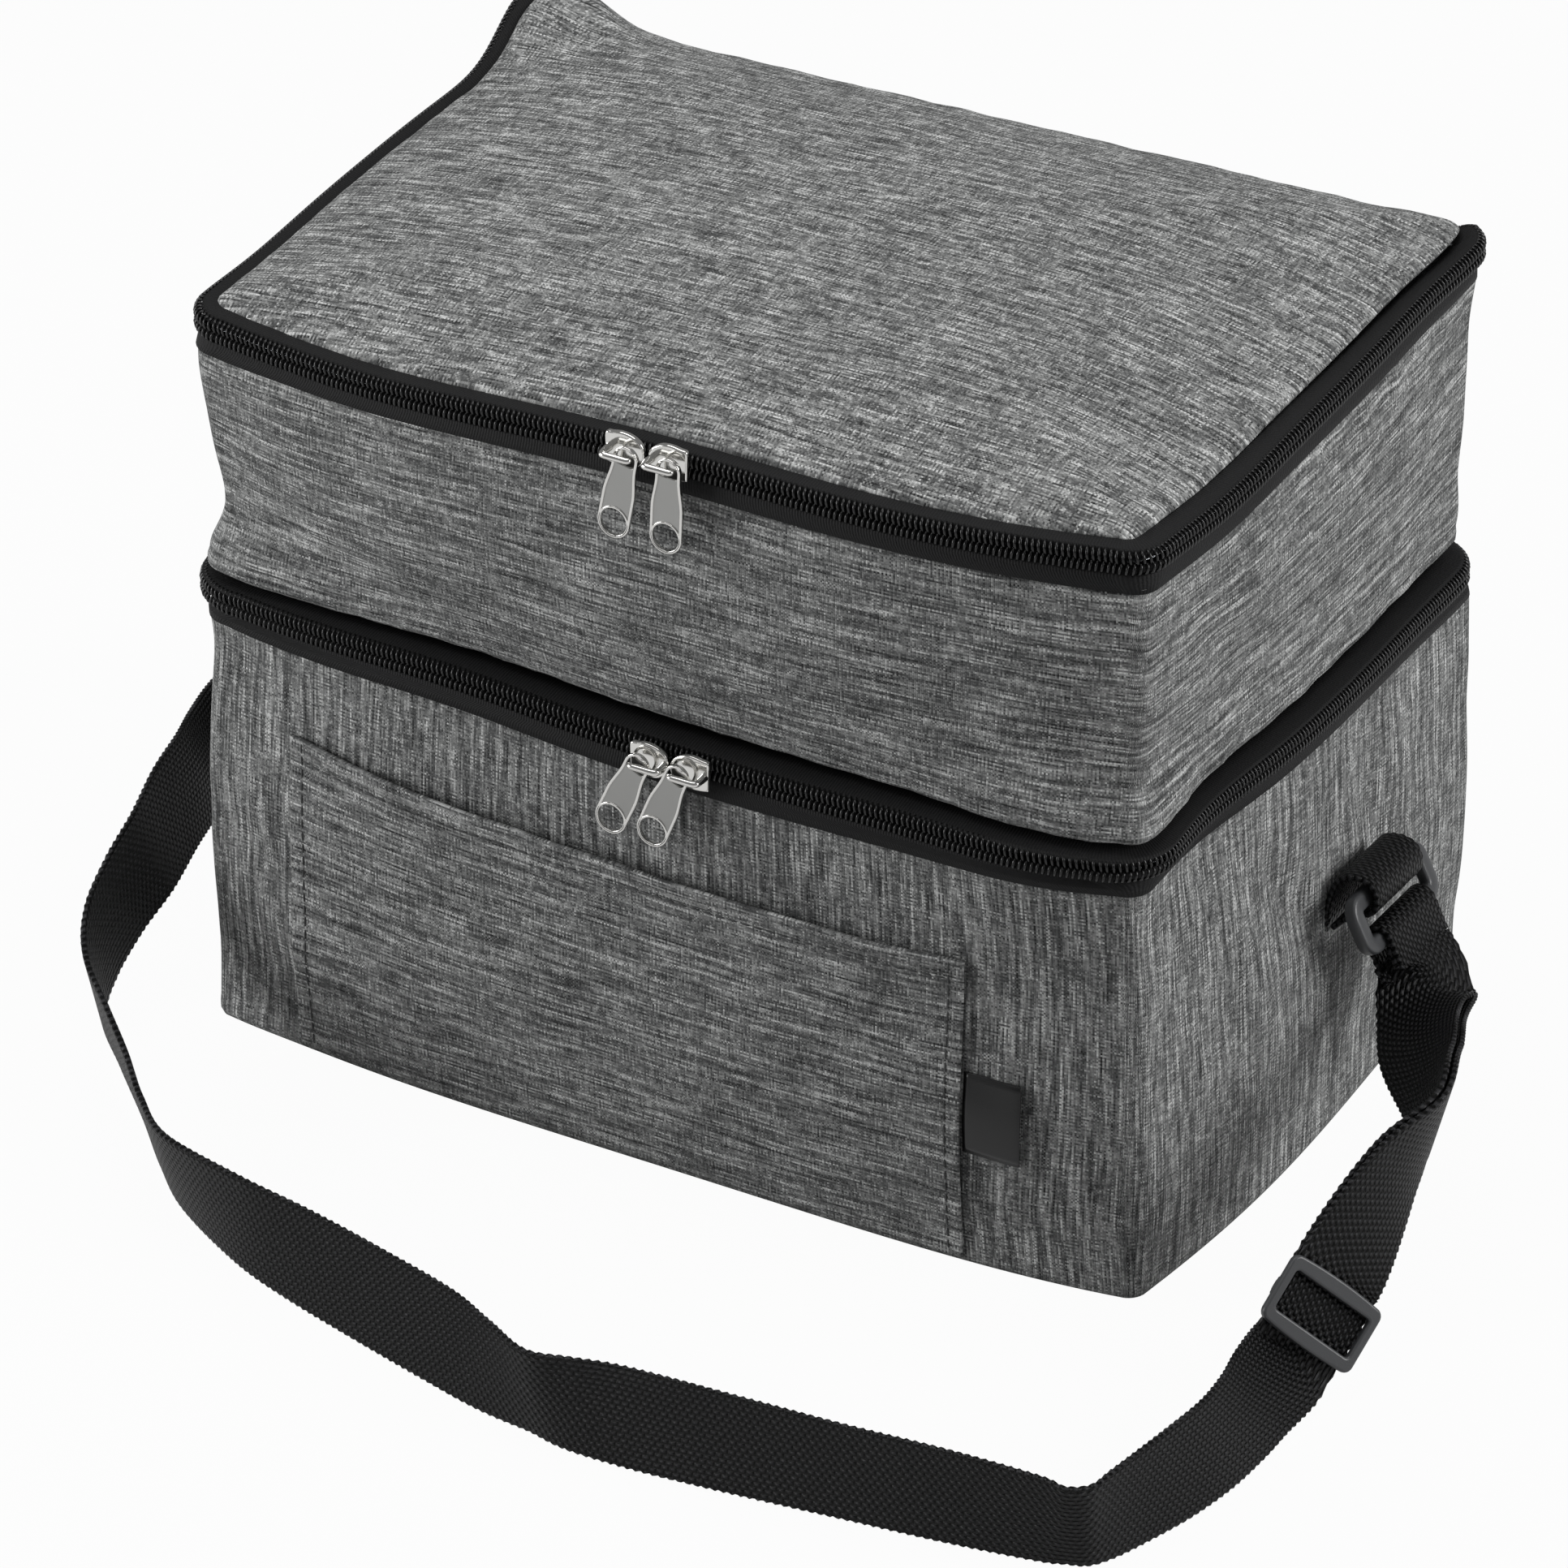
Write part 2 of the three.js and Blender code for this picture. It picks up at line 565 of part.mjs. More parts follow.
const SLIDERS = [
  { name: "upper_left", x: -2.3, z: UPPER_ZIP_Z, nose: 1, hook: 1, lean: 11 },
  { name: "upper_right", x: 9.7, z: UPPER_ZIP_Z, nose: -1, hook: 1, lean: 2.5 },
  { name: "lower_left", x: 4, z: LOWER_ZIP_Z, nose: 1, hook: -1, lean: 24 },
  { name: "lower_right", x: 15.4, z: LOWER_ZIP_Z, nose: -1, hook: -1, lean: 22 },
];
for (const { name, x, z, nose, hook, lean } of SLIDERS) {
  slider(`${name}_slider`, x, z, nose, hook);
  puller(`${name}_puller`, x, z, hook, lean);
}

// Side fittings, built for the right side (+1) and the left (-1).
const tabFace = HALF_WIDTH + SIDE_BOW + LOWER_SWELL + GAP;
const lean = THREE.MathUtils.degToRad(RING_LEAN);
const across = new THREE.Vector3(0, 1, 0);
const down = (side) => new THREE.Vector3(side * Math.sin(lean), 0, -Math.cos(lean));
const outward = (side) => new THREE.Vector3(side * Math.cos(lean), 0, Math.sin(lean));
const upperBar = (side) => new THREE.Vector3(side * (tabFace + TAB_OUT), TAB_Y, TAB_BAR_Z);
const lowerBar = (side) => upperBar(side).addScaledVector(down(side), RING_SPAN);

function tab(name, side) {
  const eyeRadius = RING_BAR / 2 + GAP;
  const loop = eyeRadius + TAB_BASE;
  const shape = new THREE.Shape();
  shape.moveTo(0, TAB_LOW);
  shape.lineTo(TAB_BASE, TAB_LOW);
  shape.lineTo(TAB_BASE, TAB_BAR_Z - loop * 1.6);
  shape.absarc(TAB_OUT, TAB_BAR_Z, loop, -Math.PI / 3, Math.PI * 0.75, false);
  shape.lineTo(0, TAB_BAR_Z + loop * 0.2);
  shape.closePath();
  const eye = new THREE.Path();
  eye.absarc(TAB_OUT, TAB_BAR_Z, eyeRadius, 0, 2 * Math.PI, true);
  shape.holes.push(eye);
  const wide = { depth: WEBBING_WIDTH, bevelEnabled: false, curveSegments: 6 };
  const geometry = new THREE.ExtrudeGeometry(shape, wide);
  geometry.rotateX(Math.PI / 2);
  if (side < 0) geometry.rotateZ(Math.PI);
  const y = TAB_Y + (side * WEBBING_WIDTH) / 2;
  add(name, geometry.translate(side * tabFace, y, 0), "webbing");
}

// Ring: round bar along a rounded rectangle, hanging from the tab.
function ring(name, side) {
  const middle = upperBar(side).addScaledVector(down(side), RING_SPAN / 2);
  const [a, b] = [WEBBING_WIDTH / 2 + RING_SIDE_GAP + RING_BAR / 2, RING_SPAN / 2];
  const stations = [];
  for (let corner = 0; corner < 4; corner++) {
    const [sx, sy] = [[1, 1], [-1, 1], [-1, -1], [1, -1]][corner];
    for (let i = 0; i <= 3; i++) {
      const turn = (corner + i / 3) * (Math.PI / 2);
      const out = across.clone().multiplyScalar(Math.cos(turn));
      out.addScaledVector(down(side), Math.sin(turn));
      const centre = middle.clone().addScaledVector(across, sx * (a - RING_CORNER));
      centre.addScaledVector(down(side), sy * (b - RING_CORNER));
      centre.addScaledVector(out, RING_CORNER);
      const section = [];
      for (let k = 0; k < 8; k++) {
        const angle = (k + 0.5) * (Math.PI / 4);
        const point = centre.clone().addScaledVector(out, (RING_BAR / 2) * Math.cos(angle));
        section.push(point.addScaledVector(outward(side), (RING_BAR / 2) * Math.sin(angle)));
      }
      stations.push(section);
    }
  }
  add(name, loft(stations, true), "plastic");
}

// Webbing turned round the ring's lower bar, both legs leaving along the ring's plane.
const loopRadius = RING_BAR / 2 + GAP + WEBBING / 2;
function strapLoop(name, side) {
  const bar = lowerBar(side);
  const turns = [];
  for (let i = 0; i <= 8; i++) turns.push((Math.PI * i) / 8);
  const line = (radius) => {
    const bend = turns.map((angle) => [radius * Math.cos(angle), -radius * Math.sin(angle)]);
    const path = [[radius, LOOP_LEG], ...bend, [-radius, LOOP_LEG]];
    return path.map(([n, d]) =>
      [1, -1].map((edge) => {
        const point = bar.clone().addScaledVector(outward(side), n).addScaledVector(down(side), d);
        return point.addScaledVector(across, (edge * WEBBING_WIDTH) / 2);
      }),
    );
  };
  const sheet = slab(line(loopRadius + WEBBING / 2), line(loopRadius - WEBBING / 2));
  add(name, sheet, "webbing");
}

for (const [word, side] of [["left", -1], ["right", 1]]) {
  tab(`strap_tab_${word}`, side);
  ring(`strap_ring_${word}`, side);
  strapLoop(`strap_loop_${word}`, side);
}

// Strap's stations: a centre, the way along, the way across and the way through the webbing.
const glide = new THREE.Vector3(HALF_WIDTH + GLIDE_OUT, GLIDE_Y, GLIDE_Z);
const [turn, rise, roll] = [GLIDE_TURN, GLIDE_RISE, GLIDE_ROLL].map(THREE.MathUtils.degToRad);
const level = new THREE.Vector3(Math.cos(turn), -Math.sin(turn), 0);
const heading = new THREE.Vector3(Math.sin(turn), Math.cos(turn), Math.tan(rise)).normalize();
const toRight = level.clone().applyAxisAngle(heading, roll);
const toLeft = toRight.clone().negate();
const onGlide = (s) => glide.clone().addScaledVector(heading, s);

const place = (x, y, z, ...w) => ({ c: new THREE.Vector3(x, y, z), w: new THREE.Vector3(...w) });
const leftRows = LEFT_FALL.map(([out, y, ...r]) => place(-(HALF_WIDTH + out), y, ...r));
const frontRows = FRONT_RUN.map(([x, ahead, ...r]) => place(x, -(FRONT + ahead), ...r));
const foldRows = RIGHT_FOLD.map(([out, y, ...r]) => place(HALF_WIDTH + out, y, ...r));
const riseRows = RIGHT_RISE.map(([out, y, ...r]) => place(HALF_WIDTH + out, y, ...r));
const flatRow = (s) => ({ c: onGlide(s), w: toLeft.clone() });

function loopEnd(side, n) {
  const c = lowerBar(side).addScaledVector(down(side), LOOP_LEG + GAP);
  return { c: c.addScaledVector(outward(side), n * loopRadius), w: across.clone() };
}

// Rows with a point added half way along the curve between each two.
function smooth(rows) {
  const centres = new THREE.CatmullRomCurve3(rows.map(({ c }) => c));
  const ways = new THREE.CatmullRomCurve3(rows.map(({ w }) => w));
  const steps = 2 * (rows.length - 1);
  const dense = [];
  for (let i = 0; i <= steps; i++) {
    dense.push({ c: centres.getPoint(i / steps), w: ways.getPoint(i / steps) });
  }
  return dense;
}

function stations(rows, first, last) {
  return rows.map(({ c, w }, i) => {
    const before = rows[Math.max(i - 1, 0)].c;
    const after = rows[Math.min(i + 1, rows.length - 1)].c;
    let along = after.clone().sub(before).normalize();
    if (i === 0 && first) along = first;
    if (i === rows.length - 1 && last) along = last;
    const wide = w.clone().addScaledVector(along, -w.dot(along)).normalize();
    return { c, wide, through: along.clone().cross(wide) };
  });
}

function ribbon(list, drop = () => 0) {
  const face = (sign) =>
    list.map(({ c, wide, through }, i) =>
      [1, -1].map((edge) => {
        const point = c.clone().addScaledVector(through, (sign * WEBBING) / 2 - drop(i));
        return point.addScaledVector(wide, (edge * WEBBING_WIDTH) / 2);
      }),
    );
  return slab(face(1), face(-1));
}

const leftRun = smooth([loopEnd(-1, 1), ...leftRows, ...frontRows, ...foldRows]);
leftRun.push(flatRow(-GLIDE_REACH), flatRow(GLIDE_EASE - GLIDE_REACH), flatRow(-GAP));
add("shoulder_strap", ribbon(stations(leftRun, down(-1), heading)), "webbing");

const upTheRing = down(1).negate();
const rightRun = [flatRow(0), flatRow(RETURN_START), flatRow(GLIDE_REACH - GLIDE_EASE)];
rightRun.push(...smooth([flatRow(GLIDE_REACH), ...riseRows, loopEnd(1, -1)]));
const rightStations = stations(rightRun, heading, upTheRing);
add("strap_right_run", ribbon(rightStations), "webbing");

// Doubled layer lies under the right run and parts from it to reach the other leg of the loop.
const doubled = rightStations.slice(1);
const together = WEBBING + PLY_GAP;
const apart = 2 * loopRadius;
const spread = (i) => {
  const fromRing = doubled.length - 1 - i;
  return together + (apart - together) * Math.max(0, 1 - fromRing / 6) ** 2;
};
add("strap_return_run", ribbon(doubled, spread), "webbing");

// Adjuster: long bars over the strap, crossbar under it, short sides past its edges.
function adjuster() {
  const inside = WEBBING_WIDTH / 2 + GLIDE_SIDE_GAP;
  const [w, s] = [inside + GLIDE_SIDE, GLIDE_LENGTH / 2];
  const over = WEBBING / 2 + GAP;
  const cut = GLIDE_CORNER;
  const frame = new THREE.Shape();
  frame.moveTo(-w + cut, -s);
  frame.lineTo(w - cut, -s);
  frame.lineTo(w, -s + cut);
  frame.lineTo(w, s - cut);
  frame.lineTo(w - cut, s);
  frame.lineTo(-w + cut, s);
  frame.lineTo(-w, s - cut);
  frame.lineTo(-w, -s + cut);
  frame.closePath();
  const window = new THREE.Path();
  window.moveTo(-inside, -s + GLIDE_BAR);
  window.lineTo(-inside, s - GLIDE_BAR);
  window.lineTo(inside, s - GLIDE_BAR);
  window.lineTo(inside, -s + GLIDE_BAR);
  window.closePath();
  frame.holes.push(window);
  const rim = new THREE.ExtrudeGeometry(frame, { depth: GLIDE_FRAME, bevelEnabled: false });
  rim.translate(0, 0, over);
  const half = GLIDE_CROSSBAR / 2;
  const top = over + GLIDE_FRAME / 2;
  const under = -over - GLIDE_CROSS_THICK;
  const leftPost = box(-w, -inside, -half, half, under, top);
  const rightPost = box(inside, w, -half, half, under, top);
  const crossbar = box(-w, w, -half, half, under, -over);
  const geometry = join(rim, leftPost, rightPost, crossbar);
  const through = toRight.clone().cross(heading);
  geometry.applyMatrix4(new THREE.Matrix4().makeBasis(toRight, heading, through).setPosition(glide));
  add("strap_adjuster", geometry, "plastic");
}
adjuster();

export default group;
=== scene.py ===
"""Looks of a soft two-stage cooler bag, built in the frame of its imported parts.

Lengths are written in millimetres and turned into metres where a mesh is made.
+X is the bag's right seen from the front, -Y the front, +Z up.
"""

import logging
import math
from collections.abc import Sequence
from dataclasses import dataclass
from enum import Enum

import bmesh
import bpy
import numpy as np
from mathutils import Matrix, Vector, noise
from mathutils.bvhtree import BVHTree


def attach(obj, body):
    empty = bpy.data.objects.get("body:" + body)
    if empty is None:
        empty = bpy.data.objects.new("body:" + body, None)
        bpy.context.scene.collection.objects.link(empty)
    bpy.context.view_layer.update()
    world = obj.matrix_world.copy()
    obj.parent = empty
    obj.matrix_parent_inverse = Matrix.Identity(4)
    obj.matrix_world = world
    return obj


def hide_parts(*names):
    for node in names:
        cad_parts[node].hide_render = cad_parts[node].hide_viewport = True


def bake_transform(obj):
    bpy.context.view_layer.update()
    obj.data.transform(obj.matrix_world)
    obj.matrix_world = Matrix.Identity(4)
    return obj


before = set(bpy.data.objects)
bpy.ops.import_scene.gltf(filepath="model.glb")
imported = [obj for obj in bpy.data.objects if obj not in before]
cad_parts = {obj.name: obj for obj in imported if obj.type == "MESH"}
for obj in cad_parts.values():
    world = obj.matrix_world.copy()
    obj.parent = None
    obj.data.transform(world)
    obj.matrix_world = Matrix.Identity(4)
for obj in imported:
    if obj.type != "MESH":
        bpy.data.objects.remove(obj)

LOG = logging.getLogger("cooler_bag")
MM = 0.001
WEAVE = "weave"

Tree = bpy.types.NodeTree
Socket = bpy.types.NodeSocket
Material = bpy.types.Material
Piece = bpy.types.Object
Array = np.ndarray
Point = tuple[float, float, float]
Stops = Sequence[tuple[float, float]]
Rows = Sequence[tuple[float, ...]]

# Sizes that several pieces share, mm: half the width and the back at the zips, the zips' heights, the foil.
HALF_WIDTH = 135.0
REAR = 89.0
LOWER_ZIP = 123.5
UPPER_ZIP = 209.5
FILM = 0.5

# Where the strap's rings hang along the sides, and the way out and height of their lower bars, mm.
RING_Y = 14.0
RING_LOW_BAR = (155.26, 62.21)

# Middle of the strap in its adjuster, mm, the way it runs there and the way to its upper edge.
GLIDE: Point = (192.7, -101.5, 21.2)
GLIDE_HEADING: Point = (0.15927, 0.7493, 0.64279)
GLIDE_UPPER_EDGE: Point = (-0.6050, -0.4406, 0.6634)

# Edges of a plate that turn by more than this stay sharp.
CREASE = math.radians(40)


class Hand(Enum):
    """The bag's two sides, as the sign of X."""

    LEFT = -1
    RIGHT = 1


class Way(Enum):
    """Which way the slubs of the cloth run on a piece."""

    ROUND = "round the bag"
    UP = "up the bag"


def linear(colour: str) -> tuple[float, float, float, float]:
    """Turns an sRGB hex colour into linear light.

    Args:
        colour: Six hex digits after a hash.

    Returns:
        Red, green, blue and a full alpha.
    """
    parts = [int(colour[i : i + 2], 16) / 255 for i in (1, 3, 5)]
    red, green, blue = (c / 12.92 if c <= 0.04045 else ((c + 0.055) / 1.055) ** 2.4 for c in parts)
    return (red, green, blue, 1.0)


def smooth_curve(at: Array, stops: Stops) -> Array:
    """Reads a smooth curve through a few stops.

    Args:
        at: Places to read.
        stops: Rising places with the value at each.

    Returns:
        The value at each place, held level past the ends.
    """
    x, y = np.array(stops, dtype=float).T
    slope = np.gradient(y, x)
    i = np.clip(np.searchsorted(x, at) - 1, 0, len(x) - 2)
    h = x[i + 1] - x[i]
    t = np.clip((at - x[i]) / h, 0, 1)
    return (
        (2 * t**3 - 3 * t**2 + 1) * y[i]
        + (t**3 - 2 * t**2 + t) * h * slope[i]
        + (3 * t**2 - 2 * t**3) * y[i + 1]
        + (t**3 - t**2) * h * slope[i + 1]
    )


def run_length(points: Array) -> Array:
    """Measures the way along a polyline to each of its points."""
    return np.concatenate([[0.0], np.cumsum(np.linalg.norm(np.diff(points, axis=0), axis=1))])


def even_path(points: Array, step: float) -> Array:
    """Resamples a polyline at even steps of its length.

    Args:
        points: Points of three or more numbers; the first three are the place.
        step: Wanted step, mm.

    Returns:
        The evenly spaced points, ends kept.
    """
    run = run_length(points[:, :3])
    count = max(2, round(run[-1] / step) + 1)
    at = np.linspace(0, run[-1], count)
    return np.stack([np.interp(at, run, column) for column in points.T], axis=1)


def through_points(rows: Array, parts: int = 12) -> Array:
    """Draws a smooth line through rows of numbers.

    Args:
        rows: Rows to pass through.
        parts: Pieces between two rows.

    Returns:
        The denser rows.
    """
    padded = np.vstack([2 * rows[0] - rows[1], rows, 2 * rows[-1] - rows[-2]])
    t = np.linspace(0, 1, parts, endpoint=False)[:, None]
    spans = []
    for a, b, c, d in zip(padded, padded[1:], padded[2:], padded[3:]):
        spans.append(b + 0.5 * t * (c - a + t * (2 * a - 5 * b + 4 * c - d + t * (3 * (b - c) + d - a))))
    return np.vstack([*spans, rows[-1:]])


def unit(v: Array) -> Array:
    """Scales vectors to length one."""
    return v / (np.linalg.norm(v, axis=-1, keepdims=True) + 1e-12)


def shares(count: int) -> Array:
    """Gives even shares of one, from nothing up, without the one itself."""
    return np.arange(count) / count


def circle(turn: Array) -> Array:
    """Gives the places on a circle of radius one at angles in radians."""
    return np.stack([np.cos(turn), np.sin(turn)], axis=-1)


def cloth_map(columns: Array, rows: Array) -> Array:
    """Gives the place on a flat cloth for each row and column."""
    return np.stack(np.broadcast_arrays(columns[None, :], rows[:, None]), axis=-1)


def link(name: str, data: bpy.types.ID) -> Piece:
    """Puts data into the scene.

    Args:
        name: Name of the object.
        data: Mesh, curve, camera or light.

    Returns:
        The new object.
    """
    made = bpy.data.objects.new(name, data)
    bpy.context.scene.collection.objects.link(made)
    return made


class Cut:
    """Quads and fans gathered into one mesh, with a map of the cloth in metres."""

    def __init__(self) -> None:
        """Starts empty."""
        self.points: list[Point] = []
        self.faces: list[tuple[int, ...]] = []
        self.maps: list[tuple[float, float]] = []

    def grid(
        self,
        net: Array,
        weave: Array | None = None,
        closed: bool = False,
        flip: bool = False,
        flat_rows: int = 0,
    ) -> int:
        """Adds a net of quads.

        Args:
            net: Rows by columns of points, mm.
            weave: Rows by columns of cloth places, mm; one more column if closed.
            closed: Whether the last column joins the first.
            flip: Whether the faces turn round.
            flat_rows: How many first rows of quads lie flat, with x and y as their cloth places.

        Returns:
            The index of the net's first point.
        """
        rows, columns = net.shape[:2]
        start = len(self.points)
        self.points.extend(map(tuple, net.reshape(-1, 3)))
        place = weave if weave is not None else np.zeros((rows, columns + 1, 2))
        for r in range(rows - 1):
            for c in range(columns if closed else columns - 1):
                d = (c + 1) % columns
                corners = [(r, c, c), (r, d, c + 1), (r + 1, d, c + 1), (r + 1, c, c)]
                if flip:
                    corners.reverse()
                self.faces.append(tuple(start + i * columns + j for i, j, _ in corners))
                if r < flat_rows:
                    self.maps.extend(tuple(net[i, j, :2] * MM) for i, j, _ in corners)
                else:
                    self.maps.extend(tuple(place[i, k] * MM) for i, _, k in corners)
        return start

    def fan(self, ring: Sequence[int]) -> None:
        """Closes a ring of points, in the order that the face turns, with one face."""
        self.faces.append(tuple(ring))
        self.maps.extend((self.points[i][0] * MM, self.points[i][1] * MM) for i in ring)

    def sweep(self, path: Array, side: Array, section: Array) -> None:
        """Sweeps a closed section along a path and caps its ends.

        Args:
            path: Points of the path, mm.
            side: Direction of the section's first axis, either one for all or one per point.
            section: Closed outline, either one for all or one per point, mm.
        """
        ahead = unit(np.gradient(path, axis=0))
        over = unit(side - ahead * np.sum(side * ahead, axis=1, keepdims=True))
        through = np.cross(ahead, over)
        outline = section if section.ndim == 3 else np.broadcast_to(section, (len(path), *section.shape))
        net = path[:, None] + over[:, None] * outline[..., :1] + through[:, None] * outline[..., 1:]
        across = np.concatenate([outline, outline[:, :1]], axis=1)[..., 0]
        weave = np.stack([np.broadcast_to(run_length(path)[:, None], across.shape), across], axis=-1)
        count = outline.shape[1]
        start = self.grid(net, weave, closed=True)
        last = start + (len(path) - 1) * count
        self.fan(range(start, start + count)[::-1])
        self.fan(range(last, last + count))

    def make(self, name: str, finish: Material) -> Piece:
        """Makes the mesh object.

        Args:
            name: Name of the piece.
            finish: Its material.

        Returns:
            The new object, linked to the scene.
        """
        mesh = bpy.data.meshes.new(name)
        mesh.from_pydata([tuple(MM * v for v in p) for p in self.points], [], self.faces)
        layer = mesh.uv_layers.new(name=WEAVE)
        layer.uv.foreach_set("vector", np.array(self.maps, dtype=np.float32).ravel())
        mesh.polygons.foreach_set("use_smooth", [True] * len(self.faces))
        mesh.materials.append(finish)
        mesh.update()
        return link(name, mesh)


def thicken(piece: Piece, depth: float) -> None:
    """Gives a single-layer piece its thickness, inwards from its outer face.

    Args:
        piece: Piece whose faces look outwards.
        depth: Thickness, mm.
    """
    solid = piece.modifiers.new("thickness", "SOLIDIFY")
    solid.thickness = depth * MM
    solid.offset = -1.0
    bpy.context.view_layer.update()
    seen = piece.evaluated_get(bpy.context.evaluated_depsgraph_get())
    thick = bpy.data.meshes.new_from_object(seen)
    single = piece.data
    piece.modifiers.clear()
    piece.data = thick
    bpy.data.meshes.remove(single)


def flat_shape(
    name: str, outlines: Sequence[Array], thick: float, bevel: float, place: Matrix, finish: Material
) -> Piece:
    """Cuts a flat shape with holes out of a plate and softens its edges.

    Args:
        name: Name of the piece.
        outlines: Outer outline and holes, mm, in the plate's own plane.
        thick: Full thickness, mm.
        bevel: Edge radius, mm.
        place: Where the plate goes, in metres.
        finish: Its material.

    Returns:
        The new object.
    """
    line = bpy.data.curves.new(name, "CURVE")
    line.dimensions, line.fill_mode = "2D", "BOTH"
    line.extrude = (thick / 2 - bevel) * MM
    line.bevel_depth, line.bevel_resolution, line.offset = bevel * MM, 3, -bevel * MM
    for outline in outlines:
        spline = line.splines.new("POLY")
        spline.points.add(len(outline) - 1)
        spline.points.foreach_set("co", [v for x, y in outline for v in (x * MM, y * MM, 0.0, 1.0)])
        spline.use_cyclic_u = True
    drawn = link(name, line)
    bpy.context.view_layer.update()
    mesh = bpy.data.meshes.new_from_object(drawn.evaluated_get(bpy.context.evaluated_depsgraph_get()))
    bpy.data.objects.remove(drawn)
    bpy.data.curves.remove(line)
    mesh.name = name
    mesh.transform(place)
    mesh.materials.clear()
    mesh.materials.append(finish)
    mesh.polygons.foreach_set("use_smooth", [True] * len(mesh.polygons))
    mesh.set_sharp_from_angle(angle=CREASE)
    return link(name, mesh)


def dress(piece: Piece, slot: str, body: str, *nodes: str) -> None:
    """Puts a finished piece on its body and reports it.

    Args:
        piece: The piece.
        slot: Slot of its material; not used.
        body: Body that it rides on.
        nodes: CAD nodes that it stands for, if any.
    """
    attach(piece, body)
    if nodes:
        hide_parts(*nodes)
    LOG.info("%s", piece.name)


def connect(tree: Tree, node: bpy.types.Node, sockets: dict[str | int, object]) -> None:
    """Gives a node's inputs their values or sources.

    Args:
        tree: Tree that it stands in.
        node: Node to connect.
        sockets: Value or source socket for each named or numbered input.
    """
    for key, value in sockets.items():
        if isinstance(value, Socket):
            tree.links.new(value, node.inputs[key])
        else:
            node.inputs[key].default_value = value


def add_node(
    tree: Tree,
    kind: str,
    sockets: dict[str | int, object] | None = None,
    stops: Sequence[tuple[float, str]] = (),
    **settings: object,
) -> bpy.types.Node:
    """Adds a shader node with its settings, values and links.

    Args:
        tree: Tree to add it to.
        kind: Blender's name of the node type, without the leading ShaderNode.
        sockets: Value or source socket for each named or numbered input.
        stops: Places and hex colours of a colour ramp.
        settings: Properties of the node itself.

    Returns:
        The new node.
    """
    made = tree.nodes.new("ShaderNode" + kind)
    for name, value in settings.items():
        setattr(made, name, value)
    for i, (place, colour) in enumerate(stops):
        mark = made.color_ramp.elements[i] if i < 2 else made.color_ramp.elements.new(place)
        mark.position, mark.color = place, linear(colour)
    connect(tree, made, sockets or {})
    return made


@dataclass(frozen=True)
class Finish:
    """A surface finish; each kind fills in its own shader."""

    name: str = "plain"

    def make(self) -> Material:
        """Makes the material.

        Returns:
            The material with its look painted.
        """
        made = bpy.data.materials.new(self.name)
        made.use_nodes = True
        tree = made.node_tree
        tree.nodes.clear()
        shader = add_node(tree, "BsdfPrincipled")
        add_node(tree, "OutputMaterial", {"Surface": shader.outputs[0]})
        self.paint(tree, shader)
        return made

    def paint(self, tree: Tree, shader: bpy.types.Node) -> None:
        """Sets the look on the shader."""
        raise NotImplementedError


